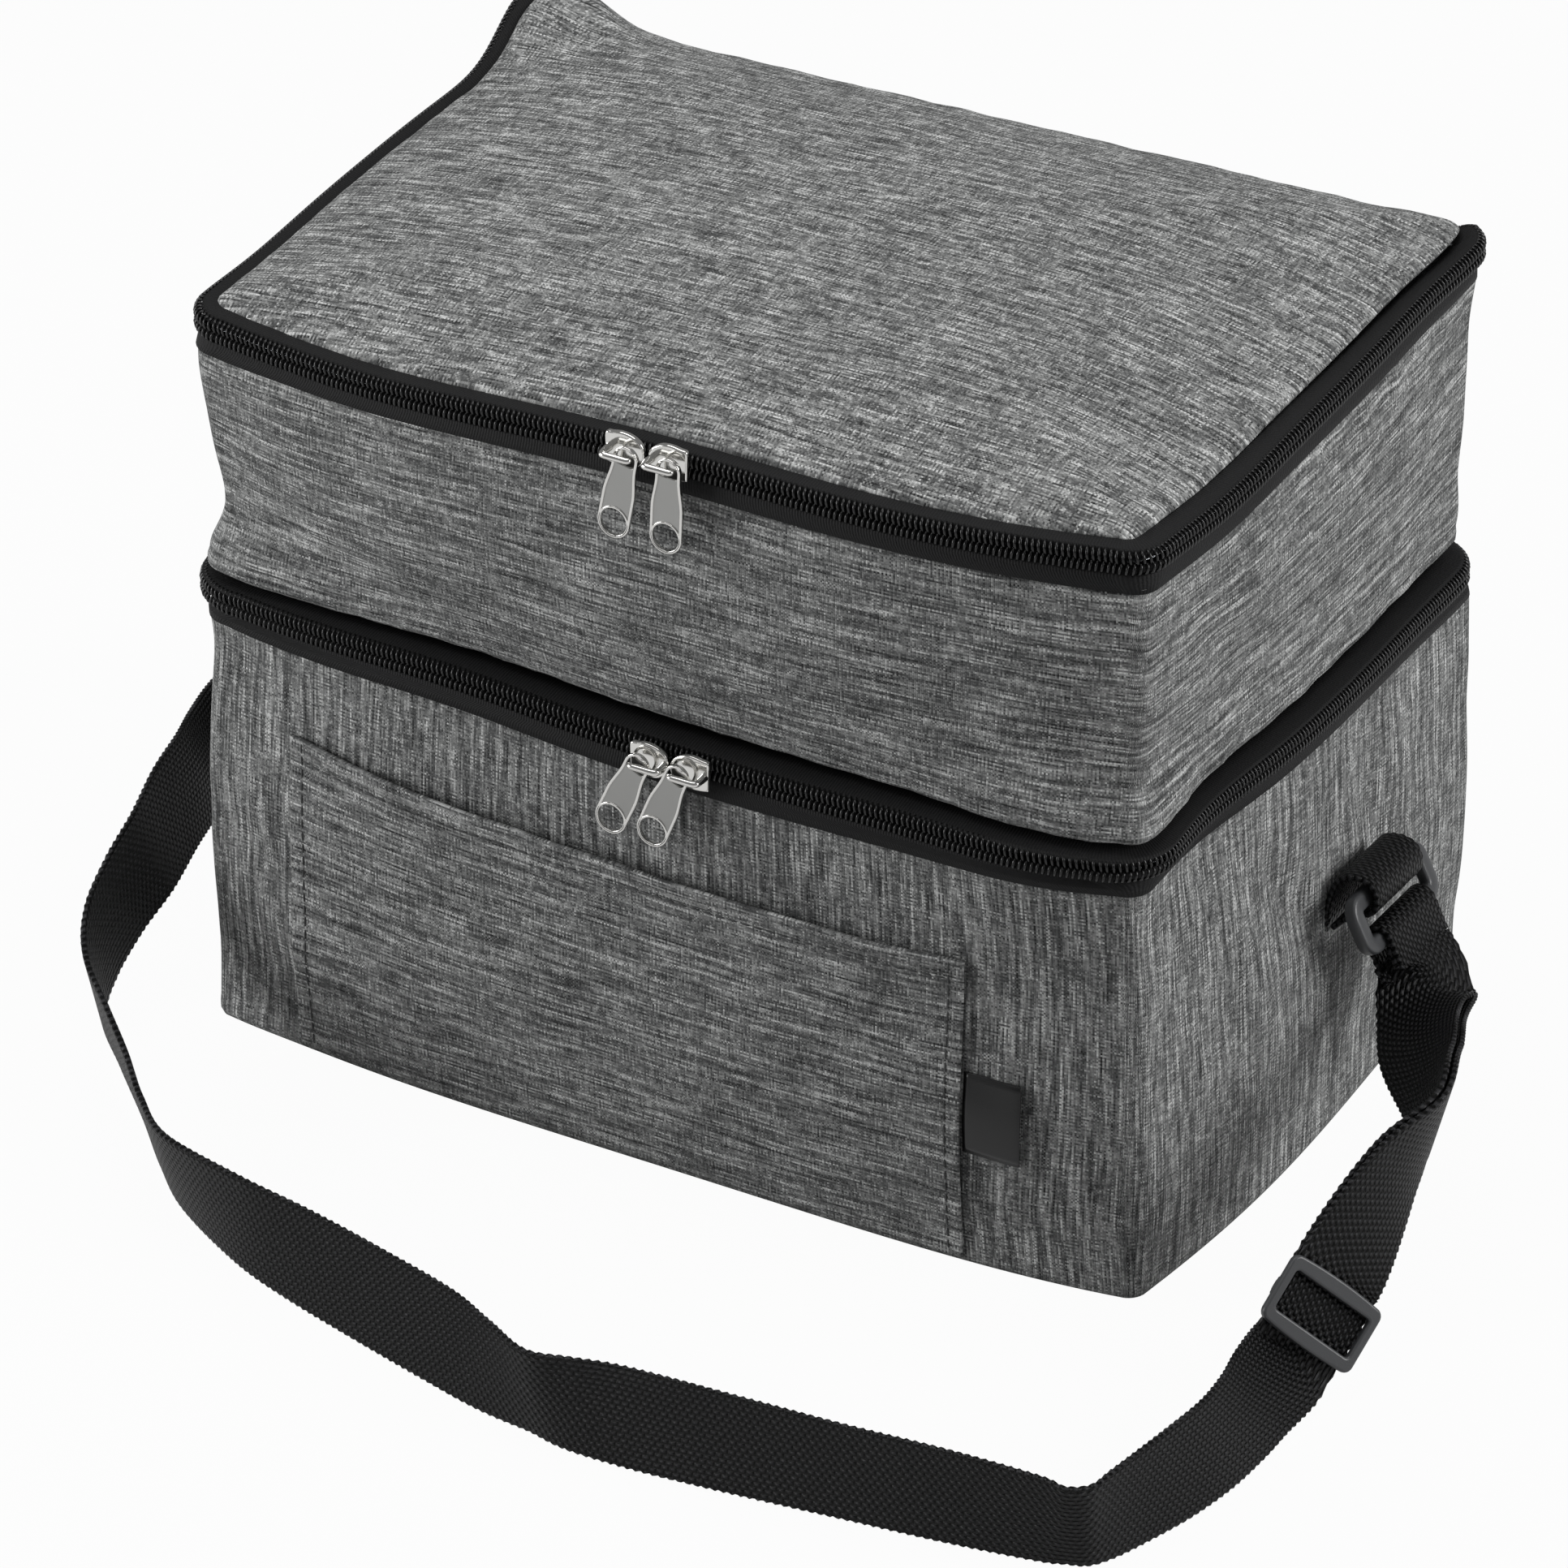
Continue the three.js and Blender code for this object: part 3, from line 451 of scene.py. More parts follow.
@dataclass(frozen=True)
class Cloth(Finish):
    """A woven finish, drawn on the cloth's own map.

    Attributes:
        roughness: How matt it is.
        specular: Strength of its gloss.
        relief: Depth of its weave, mm.
        strength: How strongly the weave shows.
    """

    roughness: float = 0.7
    specular: float = 0.3
    relief: float = 0.3
    strength: float = 0.6

    def cloth_place(self, tree: Tree, along: float, across: float) -> Socket:
        """Gives the place on the cloth counted in cells.

        Args:
            tree: Tree to add to.
            along: Length of a cell, mm.
            across: Width of a cell, mm.

        Returns:
            The socket with the place.
        """
        place = add_node(tree, "UVMap", uv_map=WEAVE)
        scale = (1 / (along * MM), 1 / (across * MM), 1.0)
        return add_node(tree, "Mapping", {"Vector": place.outputs[0], "Scale": scale}).outputs[0]

    def rounded(self, tree: Tree, place: Socket) -> Socket:
        """Rounds every cell over, from nothing at its ends to one in the middle.

        Args:
            tree: Tree to add to.
            place: Place counted in cells.

        Returns:
            The socket with the height.
        """
        part = add_node(tree, "Math", {0: place}, operation="FRACT")
        turn = add_node(tree, "Math", {0: part.outputs[0], 1: math.pi}, operation="MULTIPLY")
        return add_node(tree, "Math", {0: turn.outputs[0]}, operation="SINE").outputs[0]

    def sum_of(self, tree: Tree, *parts: tuple[Socket, float]) -> Socket:
        """Adds up sockets with a weight each.

        Args:
            tree: Tree to add to.
            parts: Sockets and weights.

        Returns:
            The socket with the sum.
        """
        total: Socket | float = 0.0
        for socket, weight in parts:
            step = add_node(tree, "Math", {0: socket, 1: weight, 2: total}, operation="MULTIPLY_ADD")
            total = step.outputs[0]
        return total

    def mottle(self, tree: Tree, along: float, across: float) -> Socket:
        """Gives soft blotches on the cloth.

        Args:
            tree: Tree to add to.
            along: Usual length of a blotch, mm.
            across: Usual width of a blotch, mm.

        Returns:
            The socket with the tone.
        """
        cloud = {"Vector": self.cloth_place(tree, along, across), "Scale": 1.0, "Detail": 2.0}
        return add_node(tree, "TexNoise", cloud, noise_dimensions="2D").outputs[0]

    def cover(
        self,
        tree: Tree,
        shader: bpy.types.Node,
        tone: Socket,
        height: Socket,
        stops: Sequence[tuple[float, str]],
    ) -> None:
        """Colours the shader by a tone and raises it by a height.

        Args:
            tree: Tree to add to.
            shader: The main shader.
            tone: Socket with the tone.
            height: Socket with the height.
            stops: Places on the tone's scale and their hex colours.
        """
        shade = add_node(tree, "ValToRGB", {0: tone}, stops=stops)
        weave = {"Height": height, "Strength": self.strength, "Distance": self.relief * MM}
        bump = add_node(tree, "Bump", weave)
        looks = {"Base Color": shade.outputs[0], "Normal": bump.outputs[0]}
        looks |= {"Roughness": self.roughness, "Specular IOR Level": self.specular}
        connect(tree, shader, looks)


@dataclass(frozen=True)
class MelangePolyester(Cloth):
    """Grey polyester canvas spun from light and dark fibres.

    Attributes:
        thread: Spacing of the threads, mm; finer ones would not show in the render.
        weft_run: Usual length of a light or dark stretch along the weft, mm.
        warp_run: Usual length of a light or dark stretch along the warp, mm.
        streak: Usual length and width of the broad streaks, mm.
        bands: Share of the broad streaks in the tone.
        grain: Share of each crossing's own tone.
        weft_shows: Share of the weft in the tone where it lies under and over.
        lane_step: Way between two threads in the noise, enough to give each its own lengths.
        sheen: Strength of the fuzz.
    """

    name: str = "melange polyester canvas"
    roughness: float = 0.88
    specular: float = 0.25
    relief: float = 0.25
    thread: float = 0.5
    weft_run: float = 16.0
    warp_run: float = 4.0
    streak: tuple[float, float] = (40.0, 1.3)
    bands: float = 0.21
    grain: float = 0.06
    weft_shows: tuple[float, float] = (0.26, 0.94)
    lane_step: float = 7.7
    sheen: float = 0.08

    def paint(self, tree: Tree, shader: bpy.types.Node) -> None:
        """Each thread has its own light and dark lengths, and the two ways pass over and under.

        Args:
            tree: Tree to add to.
            shader: The main shader.
        """
        place = self.cloth_place(tree, self.thread, self.thread)
        cell = add_node(tree, "SeparateXYZ", {0: place})
        weft = self.yarn(tree, cell.outputs[0], cell.outputs[1], self.weft_run)
        warp = self.yarn(tree, cell.outputs[1], cell.outputs[0], self.warp_run)
        over = add_node(tree, "TexChecker", {"Vector": place, "Scale": 1.0})
        least, most = self.weft_shows
        share = add_node(tree, "MapRange", {0: over.outputs["Fac"], 3: least, 4: most})
        mixed = add_node(tree, "Mix", {0: share.outputs[0], 2: warp, 3: weft}, data_type="FLOAT")
        crossing = add_node(tree, "VectorMath", {0: place}, operation="FLOOR")
        fleck = add_node(tree, "TexWhiteNoise", {"Vector": crossing.outputs[0]}, noise_dimensions="2D")
        tone = self.sum_of(
            tree,
            (mixed.outputs[0], 1 - self.grain - self.bands),
            (self.mottle(tree, *self.streak), self.bands),
            (fleck.outputs["Value"], self.grain),
        )
        knuckle = [self.rounded(tree, cell.outputs[i]) for i in (0, 1)]
        pillow = add_node(tree, "Math", {0: knuckle[0], 1: knuckle[1]}, operation="MULTIPLY")
        height = self.sum_of(tree, (pillow.outputs[0], 0.7), (tone, 1.2))
        stops = ((0.32, "#222323"), (0.68, "#dfe0df"), (0.45, "#5c5d5d"), (0.55, "#929392"))
        self.cover(tree, shader, tone, height, stops)
        shader.inputs["Sheen Weight"].default_value = self.sheen

    def yarn(self, tree: Tree, along: Socket, over: Socket, run: float) -> Socket:
        """Shades the threads of one way, each with its own lengths of fibre.

        Args:
            tree: Tree to add to.
            along: Place along the thread, in threads.
            over: Place across the threads.
            run: Usual length of a light or dark stretch, mm.

        Returns:
            The socket with the shade.
        """
        lane = add_node(tree, "Math", {0: over}, operation="FLOOR")
        apart = add_node(tree, "Math", {0: lane.outputs[0], 1: self.lane_step}, operation="MULTIPLY")
        length = add_node(tree, "Math", {0: along, 1: self.thread / run}, operation="MULTIPLY")
        spot = add_node(tree, "CombineXYZ", {0: length.outputs[0], 1: apart.outputs[0]})
        fibres = {"Vector": spot.outputs[0], "Scale": 1.0, "Detail": 2.0, "Roughness": 0.6}
        return add_node(tree, "TexNoise", fibres, noise_dimensions="2D").outputs[0]


@dataclass(frozen=True)
class PolypropyleneWebbing(Cloth):
    """Black polypropylene webbing in a coarse basket weave."""

    name: str = "polypropylene webbing"
    roughness: float = 0.42
    specular: float = 0.22
    relief: float = 0.7
    strength: float = 1.0
    along: float = 2.1
    across: float = 1.3
    fibre: tuple[float, float] = (1.1, 0.35)

    def paint(self, tree: Tree, shader: bpy.types.Node) -> None:
        """Rows of small bumps, every second row moved on by half; their tops are painted lighter as a
        painted highlight, so they show as light specks.

        Args:
            tree: Tree to add to.
            shader: The main shader.
        """
        place = add_node(tree, "SeparateXYZ", {0: self.cloth_place(tree, self.along, self.across)})
        row = add_node(tree, "Math", {0: place.outputs[1]}, operation="FLOOR")
        moved = {0: row.outputs[0], 1: 0.5, 2: place.outputs[0]}
        half = add_node(tree, "Math", moved, operation="MULTIPLY_ADD")
        waves = [self.rounded(tree, source) for source in (half.outputs[0], place.outputs[1])]
        bead_and_highlight = add_node(tree, "Math", {0: waves[0], 1: waves[1]}, operation="MULTIPLY")
        height = self.sum_of(tree, (bead_and_highlight.outputs[0], 1.0), (self.mottle(tree, *self.fibre), 0.35))
        # The height also colours the webbing: the fibre mottle is its own uneven black, and the lighter grey
        # on the bump tops is a painted highlight.
        self.cover(tree, shader, height, height, ((0.35, "#030303"), (1.0, "#2c2c2e"), (0.78, "#0a0a0b")))


@dataclass(frozen=True)
class ZipTape(Cloth):
    """Black polyester zip tape with fine ribs across it."""

    name: str = "polyester zip tape"
    rib: float = 0.8
    fuzz: float = 0.5

    def paint(self, tree: Tree, shader: bpy.types.Node) -> None:
        """Matt black with ribs that just show.

        Args:
            tree: Tree to add to.
            shader: The main shader.
        """
        place = add_node(tree, "SeparateXYZ", {0: self.cloth_place(tree, self.rib, self.rib)})
        turn = add_node(tree, "Math", {0: place.outputs[0], 1: 2 * math.pi}, operation="MULTIPLY")
        wave = add_node(tree, "Math", {0: turn.outputs[0]}, operation="SINE")
        height = self.sum_of(tree, (wave.outputs[0], 0.3), (self.mottle(tree, self.fuzz, self.fuzz), 1.0))
        self.cover(tree, shader, height, height, ((0.2, "#060607"), (0.85, "#171718")))


@dataclass(frozen=True)
class Plain(Finish):
    """A finish that is the same all over, with a fine unevenness in its shine."""

    colour: str = "#808080"
    metallic: float = 0.0
    roughness: float = 0.4
    grain: float = 1.5
    relief: float = 0.0
    uneven: float = 0.2

    def paint(self, tree: Tree, shader: bpy.types.Node) -> None:
        """Sets the colour, the shine, and a fine grain.

        Args:
            tree: Tree to add to.
            shader: The main shader.
        """
        place = add_node(tree, "TexCoord")
        cloud = {"Vector": place.outputs["Object"], "Scale": 1 / (self.grain * MM), "Detail": 2.0}
        speck = add_node(tree, "TexNoise", cloud).outputs[0]
        least, most = self.roughness * (1 - self.uneven), self.roughness * (1 + self.uneven)
        shine = add_node(tree, "MapRange", {0: speck, 3: least, 4: most})
        looks = {"Roughness": shine.outputs[0], "Metallic": self.metallic, "Base Color": linear(self.colour)}
        if self.relief:
            pits = {"Height": speck, "Strength": 0.5, "Distance": self.relief * MM}
            looks["Normal"] = add_node(tree, "Bump", pits).outputs[0]
        connect(tree, shader, looks)


@dataclass(frozen=True)
class Finishes:
    """Every material of the bag, made once."""

    canvas: Material
    lid_canvas: Material
    webbing: Material
    tape: Material
    coil: Material
    nickel: Material
    frosted: Material
    plastic: Material
    satin: Material
    thread: Material
    foil: Material
    floor: Material

    @classmethod
    def mixed(cls) -> "Finishes":
        """Mixes all the finishes.

        Returns:
            The materials.
        """
        return cls(
            # Woven melange: fine light and dark streaks along the threads, matt.
            canvas=MelangePolyester().make(),
            # The lid's piece of the same cloth: short slubs both ways, so it looks crosshatched.
            lid_canvas=MelangePolyester(
                "melange polyester canvas, lid", weft_run=11.0, warp_run=3.5, bands=0.15
            ).make(),
            # Woven flat yarn: black rows of bumps, their tops painted lighter as a painted highlight.
            webbing=PolypropyleneWebbing().make(),
            # Tightly woven tape: matt black beside the coil's shine.
            tape=ZipTape().make(),
            # Smooth extruded nylon: black, with a sharp small highlight on each turn.
            coil=Plain("nylon zip coil", "#0b0b0c", roughness=0.26, grain=0.8).make(),
            # Bright plating on the sliders and the pullers' rims.
            nickel=Plain("polished nickel plate", "#e4e3e0", metallic=1.0, roughness=0.12, grain=2.0).make(),
            # Etched field of the pullers, which scatters the light.
            frosted=Plain("frosted nickel plate", "#a3a3a1", 1.0, 0.38, grain=0.4, relief=0.06).make(),
            # Moulded rings and adjuster: black plastic with a soft sheen; its base colour is lifted to dark
            # grey as a painted sheen.
            plastic=Plain(
                "moulded polypropylene", "#434446", roughness=0.36, grain=0.35, relief=0.04
            ).make(),
            # Woven satin label: deep black, smoother than the webbing.
            satin=Plain("black satin ribbon", "#09090a", roughness=0.3, grain=0.3, relief=0.03).make(),
            # Sewing thread, a shade darker than the cloth.
            thread=Plain("polyester sewing thread", "#3b3c3c", roughness=0.6, grain=0.3).make(),
            # Aluminised film on the inside: crinkled, with soft mirror lights.
            foil=Plain("aluminised film", "#c6c9cd", 0.9, roughness=0.26, grain=7.0, relief=0.6).make(),
            # Pale studio floor.
            floor=StudioFloor().make(),
        )


@dataclass(frozen=True)
class StudioFloor(Finish):
    """White floor that keeps a light shadow."""

    name: str = "white studio floor"
    colour: str = "#b4b4b4"
    roughness: float = 0.9
    glow: float = 0.96
    mirrored: float = 0.5

    def paint(self, tree: Tree, shader: bpy.types.Node) -> None:
        """To the eye it is mostly its own white, and half so in metal; light meets a pale matt floor.

        Args:
            tree: Tree to add to.
            shader: The main shader.
        """
        connect(tree, shader, {"Base Color": linear(self.colour), "Roughness": self.roughness})
        white = add_node(tree, "Emission", {"Color": linear("#ffffff"), "Strength": 1.0})
        path = add_node(tree, "LightPath")
        direct = {0: path.outputs["Is Camera Ray"], 1: self.glow}
        seen = add_node(tree, "Math", direct, operation="MULTIPLY")
        glossy = {0: path.outputs["Is Glossy Ray"], 1: self.mirrored, 2: seen.outputs[0]}
        share = add_node(tree, "Math", glossy, operation="MULTIPLY_ADD")
        both = {0: share.outputs[0], 1: shader.outputs[0], 2: white.outputs[0]}
        mixed = add_node(tree, "MixShader", both)
        ends = next(n for n in tree.nodes if n.type == "OUTPUT_MATERIAL")
        connect(tree, ends, {"Surface": mixed.outputs[0]})


@dataclass(frozen=True)
class Studio:
    """Camera, lamps and floor."""

    eye: Point = (1160.5, -2040.9, 1442.0)
    target: Point = (-2.9, -24.1, 74.9)
    lens: float = 241.85
    sensor: float = 36.0
    # How far the camera sees, in metres.
    far: float = 100.0
    ambient: float = 0.2
    floor_size: float = 6000.0

    def build(self, floor_finish: Material) -> None:
        """Sets up the view and the light.

        Args:
            floor_finish: Material of the floor.
        """
        scene = bpy.context.scene
        scene.view_settings.view_transform = "Standard"
        camera = bpy.data.cameras.new("camera")
        camera.lens, camera.sensor_width, camera.clip_end = self.lens, self.sensor, self.far
        scene.camera = link("camera", camera)
        self.aim(scene.camera, self.eye, self.target)
        self.lamp("overhead softbox", at=(-200, 0, 1500), to=(0, 0, 150), size=1200, watts=10.5)
        self.lamp("left softbox", at=(-800, -650, 350), to=(0, -60, 110), size=450, watts=5.2)
        self.lamp("right softbox", at=(1500, 300, 800), to=(0, 0, 120), size=800, watts=16)
        world = bpy.data.worlds.new("studio")
        scene.world = world
        world.use_nodes = True
        tree = world.node_tree
        tree.nodes.clear()
        path = add_node(tree, "LightPath")
        strength = add_node(tree, "MapRange", {0: path.outputs["Is Camera Ray"], 3: self.ambient, 4: 1.0})
        light = {"Color": linear("#ffffff"), "Strength": strength.outputs[0]}
        white = add_node(tree, "Background", light)
        add_node(tree, "OutputWorld", {"Surface": white.outputs[0]})
        ends = (-self.floor_size / 2, self.floor_size / 2)
        ground = Cut()
        ground.grid(np.array([[(x, y, 0.0) for x in ends] for y in ends]))
        ground.make("studio_floor", floor_finish)

    def aim(self, held: Piece, at: Point, to: Point) -> None:
        """Stands a camera or a lamp at one place, looking at another, both in mm."""
        held.location = Vector(at) * MM
        held.rotation_euler = (Vector(to) - Vector(at)).to_track_quat("-Z", "Y").to_euler()

    def lamp(self, name: str, at: Point, to: Point, size: float, watts: float) -> None:
        """Hangs a square softbox.

        Args:
            name: Its name.
            at: Where it hangs, mm.
            to: Where it looks, mm.
            size: Its side, mm.
            watts: Its power.
        """
        light = bpy.data.lights.new(name, "AREA")
        light.size, light.energy = size * MM, watts
        hung = link(name, light)
        self.aim(hung, at, to)


@dataclass(frozen=True)
class Push:
    """A soft bulge, or a dent if it goes in.

    Attributes:
        at: Its middle, mm.
        wide: Reach along the wall, mm.
        tall: Reach up and down, mm.
        out: Way out at its middle, mm.
    """

    at: Point
    wide: float
    tall: float
    out: float

    def felt(self, net: Array) -> Array:
        """Tells how far each point is pushed out.

        Args:
            net: Points, mm.

        Returns:
            The way out of each, mm.
        """
        flat = np.sum((net[..., :2] - np.array(self.at[:2])) ** 2, axis=-1) / self.wide**2
        high = (net[..., 2] - self.at[2]) ** 2 / self.tall**2
        return self.out * np.exp(-0.5 * (flat + high))


@dataclass(frozen=True)
class Fold:
    """A crease or ridge along a line on the wall.

    Attributes:
        start: One end, mm.
        end: Other end, mm.
        wide: Half width, mm.
        out: Way out on the line, mm; less than nothing for a crease.
    """

    start: Point
    end: Point
    wide: float
    out: float

    def felt(self, net: Array) -> Array:
        """Tells how far each point is pushed out, most in the middle of the line.

        Args:
            net: Points, mm.

        Returns:
            The way out of each, mm.
        """
        a, b = np.array(self.start), np.array(self.end)
        t = np.clip(((net - a) @ (b - a)) / np.sum((b - a) ** 2), 0, 1)
        off = np.linalg.norm(net - (a + t[..., None] * (b - a)), axis=-1)
        fade = np.sin(np.pi * (0.15 + 0.7 * t))
        return self.out * fade * np.exp(-0.5 * (off / self.wide) ** 2)


@dataclass(frozen=True)
class Slump:
    """How a zip line has risen or sunk round the bag.

    Attributes:
        corners: Rise at front left, front right, back right and back left, mm.
        places: Further rises as x, y, reach and rise, mm.
    """

    corners: tuple[float, float, float, float]
    places: Sequence[tuple[float, float, float, float]] = ()

    def rise(self, net: Array, half: float, rear: float) -> Array:
        """Tells the rise at each point of the plan.

        Args:
            net: Points, mm.
            half: Half the width of the plan, mm.
            rear: Half the depth of the plan, mm.

        Returns:
            The rise of each, mm.
        """
        u = np.clip((net[..., 0] + half) / (2 * half), 0, 1)
        v = np.clip((net[..., 1] + rear) / (2 * rear), 0, 1)
        fl, fr, br, bl = self.corners
        total = (1 - v) * ((1 - u) * fl + u * fr) + v * ((1 - u) * bl + u * br)
        for x, y, reach, rise in self.places:
            off = (net[..., 0] - x) ** 2 + (net[..., 1] - y) ** 2
            total = total + rise * np.exp(-0.5 * off / reach**2)
        return total


@dataclass(frozen=True)
class SoftForm:
    """Outline of the bag from above and the slump of its filled walls."""

    half: float = HALF_WIDTH
    rear: float = REAR
    side_bow: float = 3.0
    lower_zip: float = LOWER_ZIP
    upper_zip: float = UPPER_ZIP
    back_steps: int = 36
    corner_steps: int = 8
    side_steps: int = 48
    front_steps: int = 84
    # Widths of the cloth's hollows, a pucker's width and height, and how far seams and floor act on them.
    hollows: tuple[float, float] = (34.0, 15.0)
    pleat: tuple[float, float] = (7.0, 26.0)
    seam_hold: float = 14.0
    seam_reach: float = 11.0
    floor_calm: float = 16.0
    low: Slump = Slump((4.0, 0.0, 1.0, 2.0), ((0, -100, 40, -1.2), (-57, -97, 26, 1.5)))
    high: Slump = Slump(
        (-5.2, -1.5, 7.6, 0.5),
        (
            (0, -100, 38, 2.2),
            (-93, -98, 25, -1.2),
            (-139, 78, 14, 12.5),
            (-138, 30, 22, 1.2),
            (-138, -20, 30, 1.0),
            (137, -50, 20, -2.0),
        ),
    )
    pushes: Sequence[Push] = (
        # The lower zip: the right front corner is drawn back along the side.
        Push((136, -62, 123), 22, 16, -4.0),
        Push((108, -95, 123), 18, 16, 2.5),
        Push((136, 86, 121), 18, 18, 2.0),
        Push((-57, -98, 122), 30, 14, -2.0),
        # The upper zip: spread at the left corners and at the right back corner.
        Push((-134, -88, 205), 16, 11, 3.5),
        Push((-137, 80, 212), 16, 12, 4.2),
        Push((136, 84, 209), 16, 10, 3.2),
        # The upper wall: pinched at the left front corner, flush with the zip at its bottom corners.
        Push((-134, -86, 158), 22, 15, -1.5),
        Push((-132, -86, 132), 20, 8, 3.8),
        Push((-134, -88, 121), 14, 8, 1.4),
        Push((130, -86, 131), 26, 9, 6.5),
        Push((-10, -99, 130), 45, 9, -2.0),
        Push((-138, 0, 131), 80, 9, 5.0),
        Push((138, 0, 131), 80, 9, 2.0),
        Push((134, 86, 185), 24, 18, -2.0),
        # The lower wall: sat out at the right, fuller at the corners.
        Push((138, -40, 4), 55, 34, 4.5),
        Push((-134, -86, 2), 14, 14, 1.2),
    )
    folds: Sequence[Fold] = (
        Fold((-128, -92, 62), (-104, -97, 36), 4.0, -1.6),
        Fold((-118, -95, 50), (-98, -98, 22), 4.5, 1.3),
        Fold((139, -30, 96), (139, -4, 62), 5.0, -2.2),
        Fold((139, -46, 84), (139, -26, 40), 5.5, 1.5),
        Fold((139, 22, 104), (139, 36, 60), 6.0, -1.8),
        Fold((137, -70, 190), (137, -30, 150), 6.0, -1.2),
        Fold((-110, -96, 150), (-60, -99, 138), 5.0, -1.2),
    )

    def columns(self) -> int:
        """Counts the columns of a ring."""
        return 2 * self.back_steps + 4 * self.corner_steps + 2 * self.side_steps + self.front_steps

    def ring(self, inset: float, radius: float, bow: float, back: float | None = None) -> Array:
        """Draws the bag's outline from above, from the middle of the back by the left to the front.

        Args:
            inset: How far inside the zip line it runs, mm.
            radius: Corner radius, mm.
            bow: Belly of the front, mm.
            back: How far inside the back, mm; the inset if left out.

        Returns:
            Columns of x and y, mm.
        """
        half, near = self.half - inset, self.rear - inset
        far = self.rear - (inset if back is None else back)
        flat, ahead, behind = half - radius, near - radius, far - radius

        def corner(x: float, y: float, start: float) -> Array:
            """Rounds the corner about a place, from a start in degrees."""
            return np.array([x, y]) + radius * circle(np.radians(start + 90 * shares(self.corner_steps)))

        def side(sign: int, u: Array) -> Array:
            """Draws one side at shares from the front to the back."""
            y = (behind - ahead) / 2 + u * (behind + ahead) / 2
            return np.stack([sign * (half + self.side_bow * (1 - u**2)), y], axis=1)

        t = shares(self.back_steps)
        u = 2 * shares(self.front_steps) - 1
        v = 1 - 2 * shares(self.side_steps)
        return np.concatenate(
            [
                np.stack([-flat * t, np.full_like(t, far)], axis=1),
                corner(-flat, behind, 90),
                side(-1, v),
                corner(-flat, -ahead, 180),
                np.stack([flat * u, -near - bow * (1 - np.abs(u) ** 3.4)], axis=1),
                corner(flat, -ahead, 270),
                side(1, -v),
                corner(flat, behind, 0),
                np.stack([flat * (1 - t), np.full_like(t, far)], axis=1),
            ]
        )

    def level(
        self, z: float, inset: float, radius: float, bow: float, back: float | None = None
    ) -> Array:
        """Lifts an outline, with the arguments of ring, to a height in mm."""
        flat = self.ring(inset, radius, bow, back)
        return np.concatenate([flat, np.full((len(flat), 1), z)], axis=1)

    def round_length(self) -> Array:
        """Measures the way round the bag at each column, with the full round at the end."""
        flat = self.ring(inset=0, radius=9, bow=11)
        return run_length(np.concatenate([flat, flat[:1]]))

    def outwards(self, net: Array) -> Array:
        """Gives the way out of each ring at each column."""
        run = unit((np.roll(net, -1, axis=1) - np.roll(net, 1, axis=1))[..., :2])
        return np.stack([run[..., 1], -run[..., 0]], axis=-1)

    def settle(self, net: Array, folded: bool = True) -> Array:
        """Slumps rings of points the way the filled bag has.

        Args:
            net: Rings by columns of points, mm.
            folded: Whether the creases show on it.

        Returns:
            The moved points.
        """
        push = sum(p.felt(net) for p in self.pushes)
        if folded:
            push = push + sum(f.felt(net) for f in self.folds)
        moved = net.copy()
        moved[..., :2] += self.outwards(net) * push[..., None]
        moved[..., 2] = self.slumped(net[..., 2], net)
        return moved

    def slumped(self, z: Array, plan: Array, sink: float = 0.0) -> Array:
        """Moves heights up or down with the zip lines.

        Args:
            z: Heights as sewn, mm.
            plan: Points over or under which they lie, mm.
            sink: Further way down at the upper zip, mm.

        Returns:
            The heights as they lie, mm.
        """
        up = np.clip((z - self.lower_zip) / (self.upper_zip - self.lower_zip), 0, 1)
        share = np.clip(z / self.lower_zip, 0, 1) * (1 - up)
        low, high = (line.rise(plan, self.half, self.rear) for line in (self.low, self.high))
        return z + share * low + up * (high - sink)

    def to_back(self, net: Array) -> Array:
        """Tells how far back each point lies, from nothing at the front corners to one."""
        return np.clip((net[..., 1] + self.rear) / (2 * self.rear), 0, 1) ** 1.5

    def ruffle(self, net: Array, seams: Sequence[float], soft: float, pucker: float) -> Array:
        """Adds the cloth's own unevenness and small puckers along its seams, but for the edge on the floor.

        Args:
            net: Rings by columns of settled points, mm.
            seams: Heights of the seams, mm.
            soft: Depth of the wide hollows, mm.
            pucker: Depth of the puckers, mm.

        Returns:
            The moved points.
        """
        moved = net.copy()
        out = self.outwards(net)
        wide, narrow = self.hollows
        across, tall = self.pleat
        elsewhere = Vector((7, 3, 1))
        for i, row in enumerate(net):
            for j, p in enumerate(row):
                near = min(abs(p[2] - s) for s in seams)
                broad = noise.noise(Vector(p) / wide) + 0.5 * noise.noise(Vector(p) / narrow + elsewhere)
                tight = noise.noise(Vector((p[0] / across, p[1] / across, p[2] / tall)))
                hold = 1 - math.exp(-near / self.seam_hold)
                calm = min(1.0, max(p[2], 0.0) / self.floor_calm)
                depth = soft * hold * broad + pucker * math.exp(-near / self.seam_reach) * tight
                moved[i, j, :2] += out[i, j] * calm * depth
        return moved


